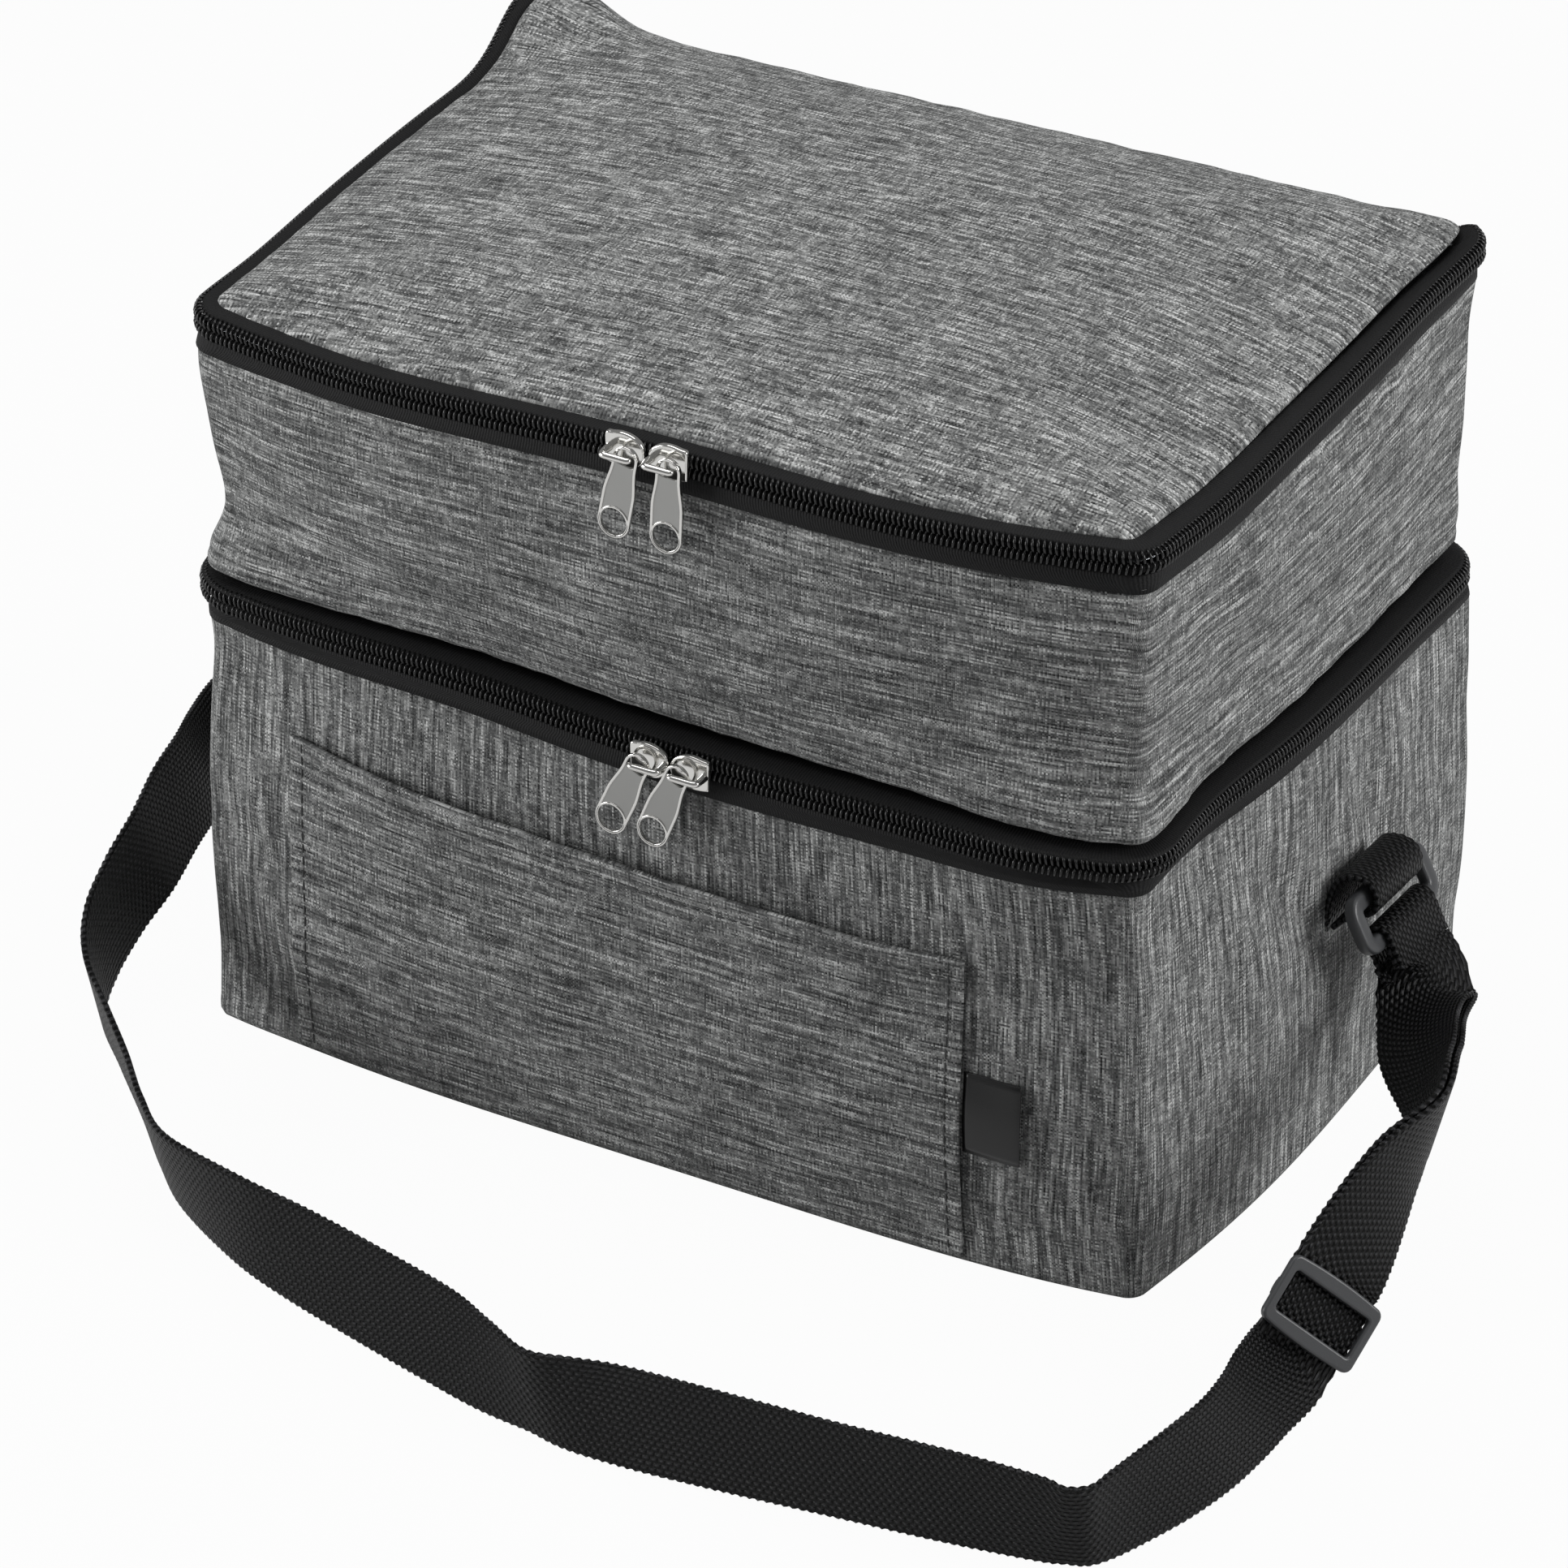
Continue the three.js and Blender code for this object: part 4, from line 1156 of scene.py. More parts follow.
@dataclass(frozen=True)
class Stitching:
    """Lockstitch lines in real thread."""

    length: float = 2.6
    pitch: float = 3.6
    radius: float = 0.28
    taper: tuple[float, ...] = (0.35, 0.9, 1.0, 0.9, 0.35)
    sides: int = 6

    def sew(self, name: str, lines: Sequence[Array], finish: Material) -> Piece:
        """Lays stitches along lines.

        Args:
            name: Name of the piece.
            lines: Polylines on the cloth, mm.
            finish: The thread's material.

        Returns:
            The stitches as one object.
        """
        cut = Cut()
        sizes = self.radius * np.array(self.taper)
        section = sizes[:, None, None] * circle(np.arange(self.sides) * 2 * math.pi / self.sides)
        for line in lines:
            path = even_path(line, self.pitch)
            for p, q in zip(path, path[1:]):
                along = unit(q - p)
                bed = np.linspace(p, p + along * self.length, len(sizes))
                cut.sweep(bed, np.array([along[1], -along[0], 0.3]), section)
        return cut.make(name, finish)


@dataclass(frozen=True)
class Stage:
    """A stuffed compartment: canvas over foam, with a foil lining.

    Attributes:
        name: Name of the stage.
        body: Body it rides on.
        floor: Height of its bottom, mm.
        top: Height of its upper seam, mm.
        zip_height: Height of the zip that closes it, mm.
        swell: Way out from the zip line by height, mm.
        bow: Belly of the front by height, mm.
        way: Which way the slubs run.
        wall: Thickness of wall and foam, mm.
        rows: Rings up the wall.
        radius: Corner radius, mm.
        sharp: Share of that radius at the bottom.
        hollow: Depth of the wide hollows in its cloth, mm.
        pucker: Depth of the puckers along its seams, mm.
        lift: Least height over the floor, mm.
        crowding: How much closer the rings lie at the bottom.
        soften: Height over which the corners round off, mm.
        bottom_rings: Share of the wall's outline at each ring of the bottom.
        liner_gap: Way from the foam to the lining, mm.
        liner_floor: Height of the lining over the bottom, mm.
        lip_drop: Way from the zip down to the lining's lip, mm.
        liner_radius: Corner radius of the lining, mm.
    """

    name: str
    body: str
    floor: float
    top: float
    zip_height: float
    swell: Stops
    bow: Stops
    way: Way
    wall: float = 5.6
    rows: int = 44
    radius: float = 4.5
    sharp: float = 0.45
    hollow: float = 0.8
    pucker: float = 0.9
    lift: float = 0.15
    crowding: float = 1.15
    soften: float = 40.0
    bottom_rings: tuple[float, ...] = (0.03, 0.3, 0.6, 0.85, 0.97)
    liner_gap: float = 1.2
    liner_floor: float = 7.2
    lip_drop: float = 1.2
    liner_radius: float = 6.0

    def shape_at(self, z: float) -> tuple[float, float]:
        """Reads the swell and the front's belly at a height, all in mm."""
        swell, bow = (float(smooth_curve(np.array(z), stops)) for stops in (self.swell, self.bow))
        return swell, bow

    def outline(self, form: SoftForm, z: float) -> Array:
        """Draws the wall's ring at a height.

        Args:
            form: The bag's form.
            z: Height, mm.

        Returns:
            The ring's points, mm.
        """
        swell, bow = self.shape_at(z)
        radius = self.radius * min(1.0, self.sharp + (z - self.floor) / self.soften)
        return form.level(z, -swell, radius, bow)

    def wall_net(self, form: SoftForm) -> tuple[Array, Array]:
        """Draws the outside from the middle of the bottom to the upper seam.

        Args:
            form: The bag's form.

        Returns:
            The settled points and their places on the cloth.
        """
        share = np.linspace(0, 1, self.rows) ** self.crowding
        heights = self.floor + self.lift + (self.top - self.floor - self.lift) * share
        walls = np.stack([self.outline(form, z) for z in heights])
        base = [walls[0] * np.array([s, s, 1.0]) for s in self.bottom_rings]
        net = form.settle(np.concatenate([np.stack(base), walls]))
        net = form.ruffle(net, (self.floor, self.top), self.hollow, self.pucker)
        net[..., 2] = np.maximum(net[..., 2], self.lift)
        run = np.broadcast_to(form.round_length(), (len(net), form.columns() + 1))
        # The bottom's rings take their cloth places from x and y, so they need no heights here.
        rise = np.concatenate([np.zeros(len(base)), heights])[:, None] * np.ones_like(run)
        pair = (run, rise) if self.way is Way.ROUND else (rise, run)
        return net, np.stack(pair, axis=-1)

    def build(self, form: SoftForm, finishes: Finishes) -> Piece:
        """Makes the padded shell and the lining.

        Args:
            form: The bag's form.
            finishes: The bag's materials.

        Returns:
            The shell.
        """
        net, weave = self.wall_net(form)
        cut = Cut()
        start = cut.grid(net, weave, closed=True, flat_rows=len(self.bottom_rings))
        cut.fan(range(start, start + form.columns())[::-1])
        shell = cut.make(f"{self.name}_shell", finishes.canvas)
        thicken(shell, self.wall)
        nodes = [f"{self.name}_{part}" for part in ("base_panel", "outer_wall", "base_foam", "wall_foam")]
        dress(shell, "grey_fabric", self.body, *nodes)
        self.line(form, finishes)
        return shell

    def line(self, form: SoftForm, finishes: Finishes) -> None:
        """Lines the stage with foil, from its lip down the wall and over the bottom.

        Args:
            form: The bag's form.
            finishes: The bag's materials.
        """
        deep, lip = self.floor + self.liner_floor, self.zip_height - self.lip_drop
        inner = self.wall + self.liner_gap
        rings = [
            form.level(lip, inset=2.2, radius=9, bow=11),
            form.level(lip, inset=inner - 0.6, radius=self.liner_radius, bow=11),
        ]
        for z in np.linspace(lip - 1.5, deep + 4, 26):
            swell, bow = self.shape_at(z)
            rings.append(form.level(z, inner - min(swell, 0), self.liner_radius, bow))
        last = rings[-1]
        for s, z in ((0.985, deep + 1), (0.95, deep), (0.7, deep), (0.4, deep), (0.04, deep)):
            rings.append(last * np.array([s, s, 0.0]) + np.array([0, 0, z]))
        net = form.settle(np.stack(rings), folded=False)
        # Its seams are far off, so it has soft hollows and no puckers.
        net = form.ruffle(net, (self.floor - 40, self.top + 40), soft=0.35, pucker=0.0)
        cut = Cut()
        bottom = cut.grid(net, closed=True) + (len(net) - 1) * form.columns()
        cut.fan(range(bottom, bottom + form.columns()))
        liner = cut.make(f"{self.name}_foil", finishes.foil)
        thicken(liner, FILM)
        dress(liner, "foil_liner", self.body, f"{self.name}_liner")


@dataclass(frozen=True)
class Lid:
    """Crowned padded lid inside the upper zip's tape."""

    edge: float = 5.2
    back: float = 0.4
    shift: float = -1.8
    base: float = 212.6
    crown: float = 11.2
    dip: float = 1.0
    rows: int = 46
    middle: float = -3.0
    crowding: float = 1.7
    # Share of the rim's outline and height over it, for each ring below.
    under: Stops = ((0.03, -2.8), (0.5, -2.8), (0.9, -2.8), (0.975, -2.4), (0.995, -1.2))
    liner_height: float = 209.9

    def scaled(self, rim: Array, share: float, rise: float = 0.0) -> Array:
        """Draws a rim again at a share of its size, so many mm higher."""
        middle = np.array([0.0, self.middle, 0.0])
        return (rim - middle) * np.array([share, share, 1]) + middle + np.array([0, 0, rise])

    def build(self, form: SoftForm, finishes: Finishes) -> None:
        """Makes the cushion and its foil lining.

        Args:
            form: The bag's form.
            finishes: The bag's materials.
        """
        rim = form.level(self.base, self.edge, radius=4, bow=10.8, back=self.back)
        rim = rim + np.array([self.shift, 0, 0])
        rings = [self.scaled(rim, share, rise) for share, rise in self.under]
        for t in np.linspace(0, 1, self.rows) ** self.crowding * 0.97:
            rise = self.crown * (1 - (1 - t) ** 3.2) + 1.3 * (1 - math.exp(-t / 0.008))
            rings.append(self.scaled(rim, 1 - t, rise))
        net = form.settle(np.stack(rings))
        net[..., 2] -= self.dip * form.to_back(net)
        below = len(self.under)
        for i, row in enumerate(net[below:], below):
            share = ((i - below) / (self.rows - 1)) ** self.crowding
            for j, p in enumerate(row):
                broad = noise.noise(Vector((p[0] / 55, p[1] / 32, 4.0)))
                tight = noise.noise(Vector((p[0] / 9, p[1] / 9, 9.0)))
                net[i, j, 2] += 0.9 * broad * min(1.0, share * 8) + 0.6 * tight * math.exp(-share / 0.06)
        cut = Cut()
        weave = np.stack([np.concatenate([ring, ring[:1]])[:, :2] for ring in rings])
        start = cut.grid(net, weave, closed=True)
        last = start + (len(net) - 1) * form.columns()
        cut.fan(range(start, start + form.columns())[::-1])
        cut.fan(range(last, last + form.columns()))
        cushion = cut.make("lid_cushion", finishes.lid_canvas)
        dress(cushion, "grey_fabric", "lid", "lid_panel", "lid_foam")
        self.line(form, finishes)

    def line(self, form: SoftForm, finishes: Finishes) -> None:
        """Lines the lid with slightly crinkled foil.

        Args:
            form: The bag's form.
            finishes: The bag's materials.
        """
        rim = form.level(self.liner_height, inset=9.5, radius=6, bow=10.5, back=7)
        net = np.stack([self.scaled(rim, share) for share in np.linspace(0.02, 1, 16)])
        net = form.settle(net, folded=False)
        net[..., 2] -= self.dip * form.to_back(net)
        for p in net.reshape(-1, 3):
            p[2] -= 0.35 * (1 + noise.noise(Vector((p[0] / 12, p[1] / 12, 0.5))))
        film = Cut()
        start = film.grid(net, closed=True, flip=True)
        film.fan(range(start, start + form.columns()))
        liner = film.make("lid_foil", finishes.foil)
        thicken(liner, FILM)
        dress(liner, "foil_liner", "lid", "lid_liner")


@dataclass(frozen=True)
class CoilZip:
    """A coil zip round the front and both sides: two tapes and two rows of turns.

    Attributes:
        name: Name of the zip.
        height: Height of the line between the rows, mm.
        below: Body under the zip.
        above: Body over the zip.
        drop: Lower tape's outer edge below the line, mm.
        lower_edge: Inset of the lower tape's outer edge, mm.
        reach: Upper tape's inner edge inside the line, mm.
        climb: Upper tape's inner edge above the line, mm.
        radius: Corner radius of the chain, mm.
        sag: Way that the upper tape's inner edge sinks towards the back, mm.
        tuck: Way that the ends on the back sink behind the cloth, mm.
        bow: Belly of the front, mm.
        pitch: Way from turn to turn, mm.
        rod: Half the thickness of the coil's rod, mm.
        first: Column of the outline at which the zip starts.
        gauge: Column of the zip at which the tapes' widths are measured.
        tape: Thickness of the tapes, mm.
    """

    name: str
    height: float
    below: str
    above: str
    drop: float
    lower_edge: float
    reach: float
    climb: float
    radius: float = 13.0
    sag: float = 0.0
    tuck: float = 0.0
    bow: float = 11.0
    pitch: float = 1.5
    rod: float = 0.4
    first: int = 31
    gauge: int = 140
    tape: float = 0.6

    def open_ring(
        self, form: SoftForm, z: float, inset: float, radius: float, out: float, sag: float = 0.0
    ) -> Array:
        """Draws a settled line beside the chain, open at the back.

        Args:
            form: The bag's form.
            z: Height, mm.
            inset: Way in from the zip line, mm.
            radius: Corner radius, mm.
            out: Way out after settling, mm.
            sag: Way down at the back, mm.

        Returns:
            The line's points, mm.
        """
        net = form.settle(form.level(z, inset, radius, self.bow)[None], folded=False)
        net[..., :2] += out * form.outwards(net)
        net[..., 2] -= sag * form.to_back(net)
        # The ends on the back sink over the 12 mm that start 3 mm from the corners.
        on_back = np.clip((form.half - 3 - np.abs(net[..., 0])) / 12, 0, 1)
        net[..., 2] -= self.tuck * (net[..., 1] > form.rear - 6) * on_back
        return net[0, self.first : form.columns() - self.first + 1]

    def strip(self, form: SoftForm, edges: Rows) -> Cut:
        """Lays a tape over a few lines.

        Args:
            form: The bag's form.
            edges: Height, inset, corner radius, way out and sag of each line.

        Returns:
            The tape as one layer.
        """
        lines = np.stack([self.open_ring(form, *edge) for edge in edges])
        run, across = run_length(lines[0]), run_length(lines[:, self.gauge])
        cut = Cut()
        cut.grid(lines, cloth_map(run, across))
        return cut

    def build(self, form: SoftForm, finishes: Finishes) -> None:
        """Makes the tapes and the coils.

        Args:
            form: The bag's form.
            finishes: The bag's materials.
        """
        z = self.height
        low = [
            (z - self.drop, self.lower_edge, 6.0, 0.55),
            (z - self.drop * 0.75, self.lower_edge * 0.6, 8.0, 0.5),
            (z - 4.6, 0.0, self.radius, 0.15),
            (z - 1.0, 0.0, self.radius, -0.45),
        ]
        high = [
            (z + 1.0, 0.0, self.radius, -0.45),
            (z + 3.3, 0.0, self.radius, -0.1),
            (z + 3.6, 0.8, self.radius, 0.0, 0.15 * self.sag),
            (z + 0.5 * (4.0 + self.climb), 0.5 * self.reach, 0.7 * self.radius, 0.0, 0.7 * self.sag),
            (z + self.climb, self.reach, 5.0, 0.0, self.sag),
        ]
        for part, edges, body in (("lower", low, self.below), ("upper", high, self.above)):
            tape = self.strip(form, edges).make(f"{self.name}_{part}_ribbon", finishes.tape)
            thicken(tape, self.tape)
            dress(tape, "zip_tape", body, f"{self.name}_{part}_tape")
        chain = even_path(self.open_ring(form, z, 0.0, self.radius, 0.0), self.pitch / 2)
        for part, sign, body in (("lower", -1, self.below), ("upper", 1, self.above)):
            turns = self.coil(chain, sign).make(f"{self.name}_{part}_turns", finishes.coil)
            dress(turns, "zip_coil", body, f"{self.name}_{part}_coil")

    def coil(self, chain: Array, sign: int) -> Cut:
        """Bends a rod over the tape's edge for every turn of a row.

        Args:
            chain: The line between the rows at half the pitch, mm.
            sign: 1 for the row above the line, -1 below.

        Returns:
            The row's turns.
        """
        # Way out, way off the line and way along, from the tape's edge over the head and back in.
        bend = np.array(
            [
                (-0.5, 3.2, -0.3),
                (0.5, 2.9, -0.25),
                (1.15, 2.2, -0.1),
                (1.35, 1.3, 0.05),
                (1.15, 0.55, 0.2),
                (0.4, 0.1, 0.3),
                (-0.4, 0.2, 0.3),
            ]
        )
        section = self.rod * circle(np.arange(6) * math.pi / 3)
        ahead = unit(np.gradient(chain, axis=0))
        out = unit(np.stack([ahead[:, 1], -ahead[:, 0], 0 * ahead[:, 0]], axis=1))
        up = np.array([0.0, 0.0, float(sign)])
        cut = Cut()
        for i in range(1 if sign > 0 else 2, len(chain) - 1, 2):
            path = chain[i] + bend[:, :1] * out[i] + bend[:, 1:2] * up + bend[:, 2:] * ahead[i]
            cut.sweep(path, ahead[i], section)
        return cut


@dataclass(frozen=True)
class ClothHinge:
    """A strip of canvas along the back, over the hinge between two stages.

    Attributes:
        name: Name of the strip.
        below: Body under the hinge.
        above: Body over the hinge; not used.
        bottom: Lower edge, mm.
        line: Height of the hinge, mm; not used.
        top: Upper edge, mm.
        leaves: CAD leaves that it stands for.
        sink: Way that its upper edge lies behind the cloth over it, mm.
        half: Half its width, mm.
        face: Its outer face along Y, mm.
        fold: Half the height over which it folds, mm; not used.
        thick: Thickness of the cloth, mm.
    """

    name: str
    below: str
    above: str
    bottom: float
    line: float
    top: float
    leaves: tuple[str, str]
    sink: float = 0.0
    half: float = 106.0
    face: float = 90.2
    fold: float = 4.0
    thick: float = 0.7

    def build(self, form: SoftForm, finishes: Finishes) -> None:
        """Args:
            form: The bag's form.
            finishes: The bag's materials.
        """
        xs = np.linspace(self.half, -self.half, 72)
        zs = np.linspace(self.bottom, self.top, 26)
        net = np.array([[(x, self.face, z) for x in xs] for z in zs])
        plan = net.copy()
        plan[..., 1] = form.rear
        net[..., 2] = form.slumped(net[..., 2], plan, self.sink)
        for p in net.reshape(-1, 3):
            p[1] += 0.5 * noise.noise(Vector((p[0] / 13, 5.0, p[2] / 16)))
        cut = Cut()
        cut.grid(net, cloth_map(xs, zs))
        strip = cut.make(self.name, finishes.canvas)
        thicken(strip, self.thick)
        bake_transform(strip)
        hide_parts(*self.leaves)
        f"{self.below.split('_')[0]}_shell"
        LOG.info("%s", strip.name)


@dataclass(frozen=True)
class Pocket:
    """Slip pocket on the lower front, with its hem, seams and folded label."""

    left: float = -107.0
    right: float = 91.0
    bottom: float = 1.8
    top: float = 89.0
    left_rise: float = 6.5
    gape: float = 3.4
    hem: float = 6.0
    thick: float = 1.1
    label_span: tuple[float, float] = (34.5, 57.5)
    label_reach: float = 16.0
    label_thick: float = 0.35

    def surface(self, wall: BVHTree, x: float, z: float) -> Array:
        """Finds the wall's face behind a place on the pocket, all in mm."""
        hit = wall.ray_cast(Vector((x * MM, -0.2, z * MM)), Vector((0, 1, 0)))[0]
        return np.array(hit) / MM

    def laid(self, wall: BVHTree, x: float, h: float) -> Array:
        """Lays one point of the pocket on the wall.

        Args:
            wall: The wall behind it.
            x: Its place along X, mm.
            h: Share of the pocket's height.

        Returns:
            The point on the pocket's outer face, mm.
        """
        width = self.right - self.left
        slope = self.left_rise * (1 - (x - self.left) / width) ** 2
        z = self.bottom + h * (self.top + slope - self.bottom)
        across = 2 * (x - self.left) / width - 1
        hang = self.gape * h**3 * (1 - across**4)
        roll = 0.5 * noise.noise(Vector((x / 26, 2.0, z / 30))) * (1 - across**6)
        edge = min(x - self.left, self.right - x)
        turned = 0.5 * math.exp(-((edge - 1.2) ** 2) / 1.2)
        hemmed = 0.45 * math.exp(-((z - self.top - slope + 2.5) ** 2) / 8)
        layer = (self.thick + 0.35) * (0.45 + 0.55 * min(1.0, 6 * h))
        point = self.surface(wall, x, z)
        point[1] -= layer + hang + max(roll, -0.3) + turned + hemmed
        return point

    def build(self, shell: Piece, finishes: Finishes) -> None:
        """Lays the pocket on the wall and sews it on.

        Args:
            shell: The lower stage's shell.
            finishes: The bag's materials.
        """
        bpy.context.view_layer.update()
        wall = BVHTree.FromObject(shell, bpy.context.evaluated_depsgraph_get())
        # Columns crowd at the two seams, where the cloth is turned in.
        inside = np.linspace(self.left + 2, self.right - 2, 92)
        xs = np.array([self.left, self.left + 0.5, *inside, self.right - 0.5, self.right])
        heights = np.linspace(0, 1, 48)
        tall = self.top - self.bottom
        net = np.array([[self.laid(wall, x, h) for x in xs] for h in heights])
        cut = Cut()
        cut.grid(net, cloth_map(xs, heights * tall))
        pocket = cut.make("pocket_cloth", finishes.canvas)
        thicken(pocket, self.thick)
        dress(pocket, "grey_fabric", "lower_compartment", "front_pocket")
        hem_row = int(np.argmin(np.abs(heights * tall - (tall - self.hem))))
        lift = np.array([0, -0.12, 0])
        lines = [net[hem_row, 3:-3] + lift, net[1:, 3] + lift, net[1:, -4] + lift]
        stitches = Stitching().sew("pocket_stitches", lines, finishes.thread)
        dress(stitches, "grey_fabric", "lower_compartment")
        self.label(wall, finishes)

    def label(self, wall: BVHTree, finishes: Finishes) -> None:
        """Folds the small satin label into the pocket's right seam.

        Args:
            wall: The wall behind it.
            finishes: The bag's materials.
        """
        (low, high), reach = self.label_span, self.label_reach
        # Way out of the seam and way off the wall, over the upper layer and back along the lower one.
        layers = [(0.0, 0.8), (reach * 0.5, 1.6), (reach * 0.92, 2.3), (reach, 2.0), (reach * 0.92, 1.5)]
        layers += [(reach * 0.5, 0.9), (0.0, 0.45)]
        profile = through_points(np.array(layers), 6)
        zs = np.linspace(low, high, 14)
        net = []
        for z in zs:
            row = np.array([self.surface(wall, self.right + 0.4 + out, z) for out in profile[:, 0]])
            row[:, 1] -= profile[:, 1] + 0.15 * math.sin((z - low) / 5)
            net.append(row)
        cut = Cut()
        cut.grid(np.array(net), cloth_map(np.arange(len(profile), dtype=float), zs))
        tag = cut.make("label_ribbon", finishes.satin)
        thicken(tag, self.label_thick)
        dress(tag, "satin_label", "lower_compartment", "side_label")


@dataclass(frozen=True)
class Slider:
    """A nickel zip slider with its hook bail and a flat puller.

    Attributes:
        name: Name of the slider.
        x: Middle of its plate, mm.
        z: Height of the zip, mm.
        nose: Which way its rounded nose looks along X.
        hook: Which way the bail's free tip looks along X.
        lean: Lean of the puller, degrees.
        back: Back of the plate along Y, mm; axis and slab are the puller's.
        plate: Thickness of the plate, mm.
    """

    name: str
    x: float
    z: float
    nose: int
    hook: int
    lean: float
    back: float = -101.5
    plate: float = 1.6
    axis: float = -107.3
    slab: tuple[float, float] = (-105.88, -104.68)
    neck: float = 3.45
    width: float = 4.5
    top: float = 2.75
    length: float = 26.5
    hole: float = 3.7
    aside: float = 1.85

    def plate_outline(self) -> Array:
        """Draws the shield: square behind, rounded at the nose, a small hump on top.

        Returns:
            Closed outline, mm.
        """
        over = [(-5.5, -3.9), (-5.6, 0), (-5.5, 3.9), (-3.6, 4.5), (-0.6, 4.9), (2.4, 4.3), (4.7, 2.6)]
        under = [(5.5, 0), (4.7, -2.6), (2.4, -4.2), (-0.6, -4.5), (-3.6, -4.3), (-5.5, -3.9)]
        return through_points(np.array(over + under), 5)[:-1] * np.array([self.nose, 1])

    def puller_outline(self, inset: float) -> Array:
        """Draws the puller's outline, its hanging axis at the origin.

        Args:
            inset: Way inside the real edge, mm.

        Returns:
            Closed outline, mm.
        """
        upper, lower = self.top - self.neck, self.top - self.length + self.width
        over = np.radians(np.linspace(0, 180, 19))
        under = np.radians(np.linspace(180, 360, 25))
        zs = np.linspace(upper, lower, 14)[1:-1]
        share = np.clip((upper - 2 - zs) / 9, 0, 1)
        sides = self.neck + (self.width - self.neck) * share**2 * (3 - 2 * share) - inset
        neck, wide = self.neck - inset, self.width - inset
        return np.concatenate(
            [
                neck * circle(over) + np.array([0, upper]),
                np.stack([-sides, zs], axis=1),
                wide * circle(under) + np.array([0, lower]),
                np.stack([sides[::-1], zs[::-1]], axis=1),
            ]
        )

    def eye(self, grow: float) -> Array:
        """Draws the window for the bail, with its corners rounded.

        Args:
            grow: Way outside the real edge, mm.

        Returns:
            Closed outline, mm.
        """
        upper, wide, low, radius = self.top - self.neck, 2.35 + grow, -2.4 - grow, 0.9
        over = np.radians(np.linspace(0, 180, 17))
        corner = np.radians(np.linspace(180, 270, 6))
        left = np.array([-wide + radius, low + radius]) + radius * circle(corner)
        right = left[::-1] * np.array([-1, 1])
        return np.concatenate([wide * circle(over) + np.array([0, upper]), left, right])

    def round_hole(self, grow: float) -> Array:
        """Draws the large hole at the bottom, so many mm outside its real edge."""
        middle = np.array([0, self.top - self.length + self.width])
        return (self.hole + grow) * circle(np.radians(np.arange(0, 360, 10))) + middle

    def stand(self, y: float, lean: float, x: float) -> Matrix:
        """Stands a flat plate up with its face to the front.

        Args:
            y: Middle of its thickness, mm.
            lean: Lean to the left at the bottom, degrees.
            x: Middle along X, mm.

        Returns:
            The placing, in metres.
        """
        return (
            Matrix.Translation(Vector((x, y, self.z)) * MM)
            @ Matrix.Rotation(math.radians(lean), 4, "Y")
            @ Matrix.Rotation(math.radians(90), 4, "X")
        )

    def build(self, finishes: Finishes) -> None:
        """Makes the slider and the puller.

        Args:
            finishes: The bag's materials.
        """
        face = self.back - self.plate
        plate = flat_shape(
            f"{self.name}_shield",
            [self.plate_outline()],
            self.plate,
            0.45,
            self.stand((self.back + face) / 2, 0, self.x),
            finishes.nickel,
        )
        bail = Cut()
        path = through_points(
            np.array(
                [
                    (-4.4, face + 0.3, 0.0),
                    (-4.45, face - 2.2, 0.0),
                    (-4.2, self.axis + 0.5, 0.0),
                    (-3.2, self.axis, 0.0),
                    (0.0, self.axis, 0.0),
                    (2.6, self.axis, 0.0),
                    (3.3, self.axis + 0.25, 0.0),
                    (3.65, self.axis + 0.8, 0.0),
                ]
            )
            * np.array([self.hook, 1, 1]),
            6,
        ) + np.array([self.x, 0, self.z])
        size = np.interp(np.linspace(0, 1, len(path)), (0, 0.2, 0.6, 0.9, 1), (1.15, 0.95, 0.9, 0.75, 0.45))
        section = size[:, None, None] * circle(np.arange(16) * math.pi / 8)
        bail.sweep(path, np.array([0.0, 0.0, 1.0]), section)
        hook = bail.make(f"{self.name}_bail", finishes.nickel)
        dress(plate, "nickel", f"slider_{self.name}", f"{self.name}_slider")
        dress(hook, "nickel", f"slider_{self.name}")
        self.hang(finishes)

    def hang(self, finishes: Finishes) -> None:
        """Hangs the puller: a frosted field inside a raised polished rim.

        Args:
            finishes: The bag's materials.
        """
        place = self.stand(sum(self.slab) / 2, self.lean, self.x + self.aside * self.hook)
        full = self.slab[1] - self.slab[0]
        inside = [self.puller_outline(0.35), self.eye(0.3), self.round_hole(0.25)]
        field = flat_shape(f"{self.name}_puller_field", inside, full * 0.55, 0.1, place, finishes.frosted)
        dress(field, "nickel", f"puller_{self.name}", f"{self.name}_puller")
        rims = {
            "rim": [self.puller_outline(0.0), self.puller_outline(0.75)],
            "eyelet": [self.round_hole(0.62), self.round_hole(0.0)],
        }
        for part, outlines in rims.items():
            name = f"{self.name}_puller_{part}"
            edge = flat_shape(name, outlines, full, 0.2, place, finishes.nickel)
            dress(edge, "nickel", f"puller_{self.name}")


def webbing_section(width: float, thick: float, scallop: float) -> Array:
    """Draws the closed section of a flat webbing.

    Args:
        width: Full width, mm.
        thick: Thickness, mm.
        scallop: Way that the edges stand out, mm.

    Returns:
        Outline across and through, mm.
    """
    edge = width / 2 + scallop
    across = np.linspace(-edge + 0.6, edge - 0.6, 17)
    half = thick / 2
    upper = np.stack([across, np.full(17, half)], axis=1)
    tip = np.array([(edge - 0.15, half * 0.7), (edge, 0.0), (edge - 0.15, -half * 0.7)])
    return np.concatenate([upper, tip, upper[::-1] * np.array([1, -1]), tip * np.array([-1, -1])])[::-1]


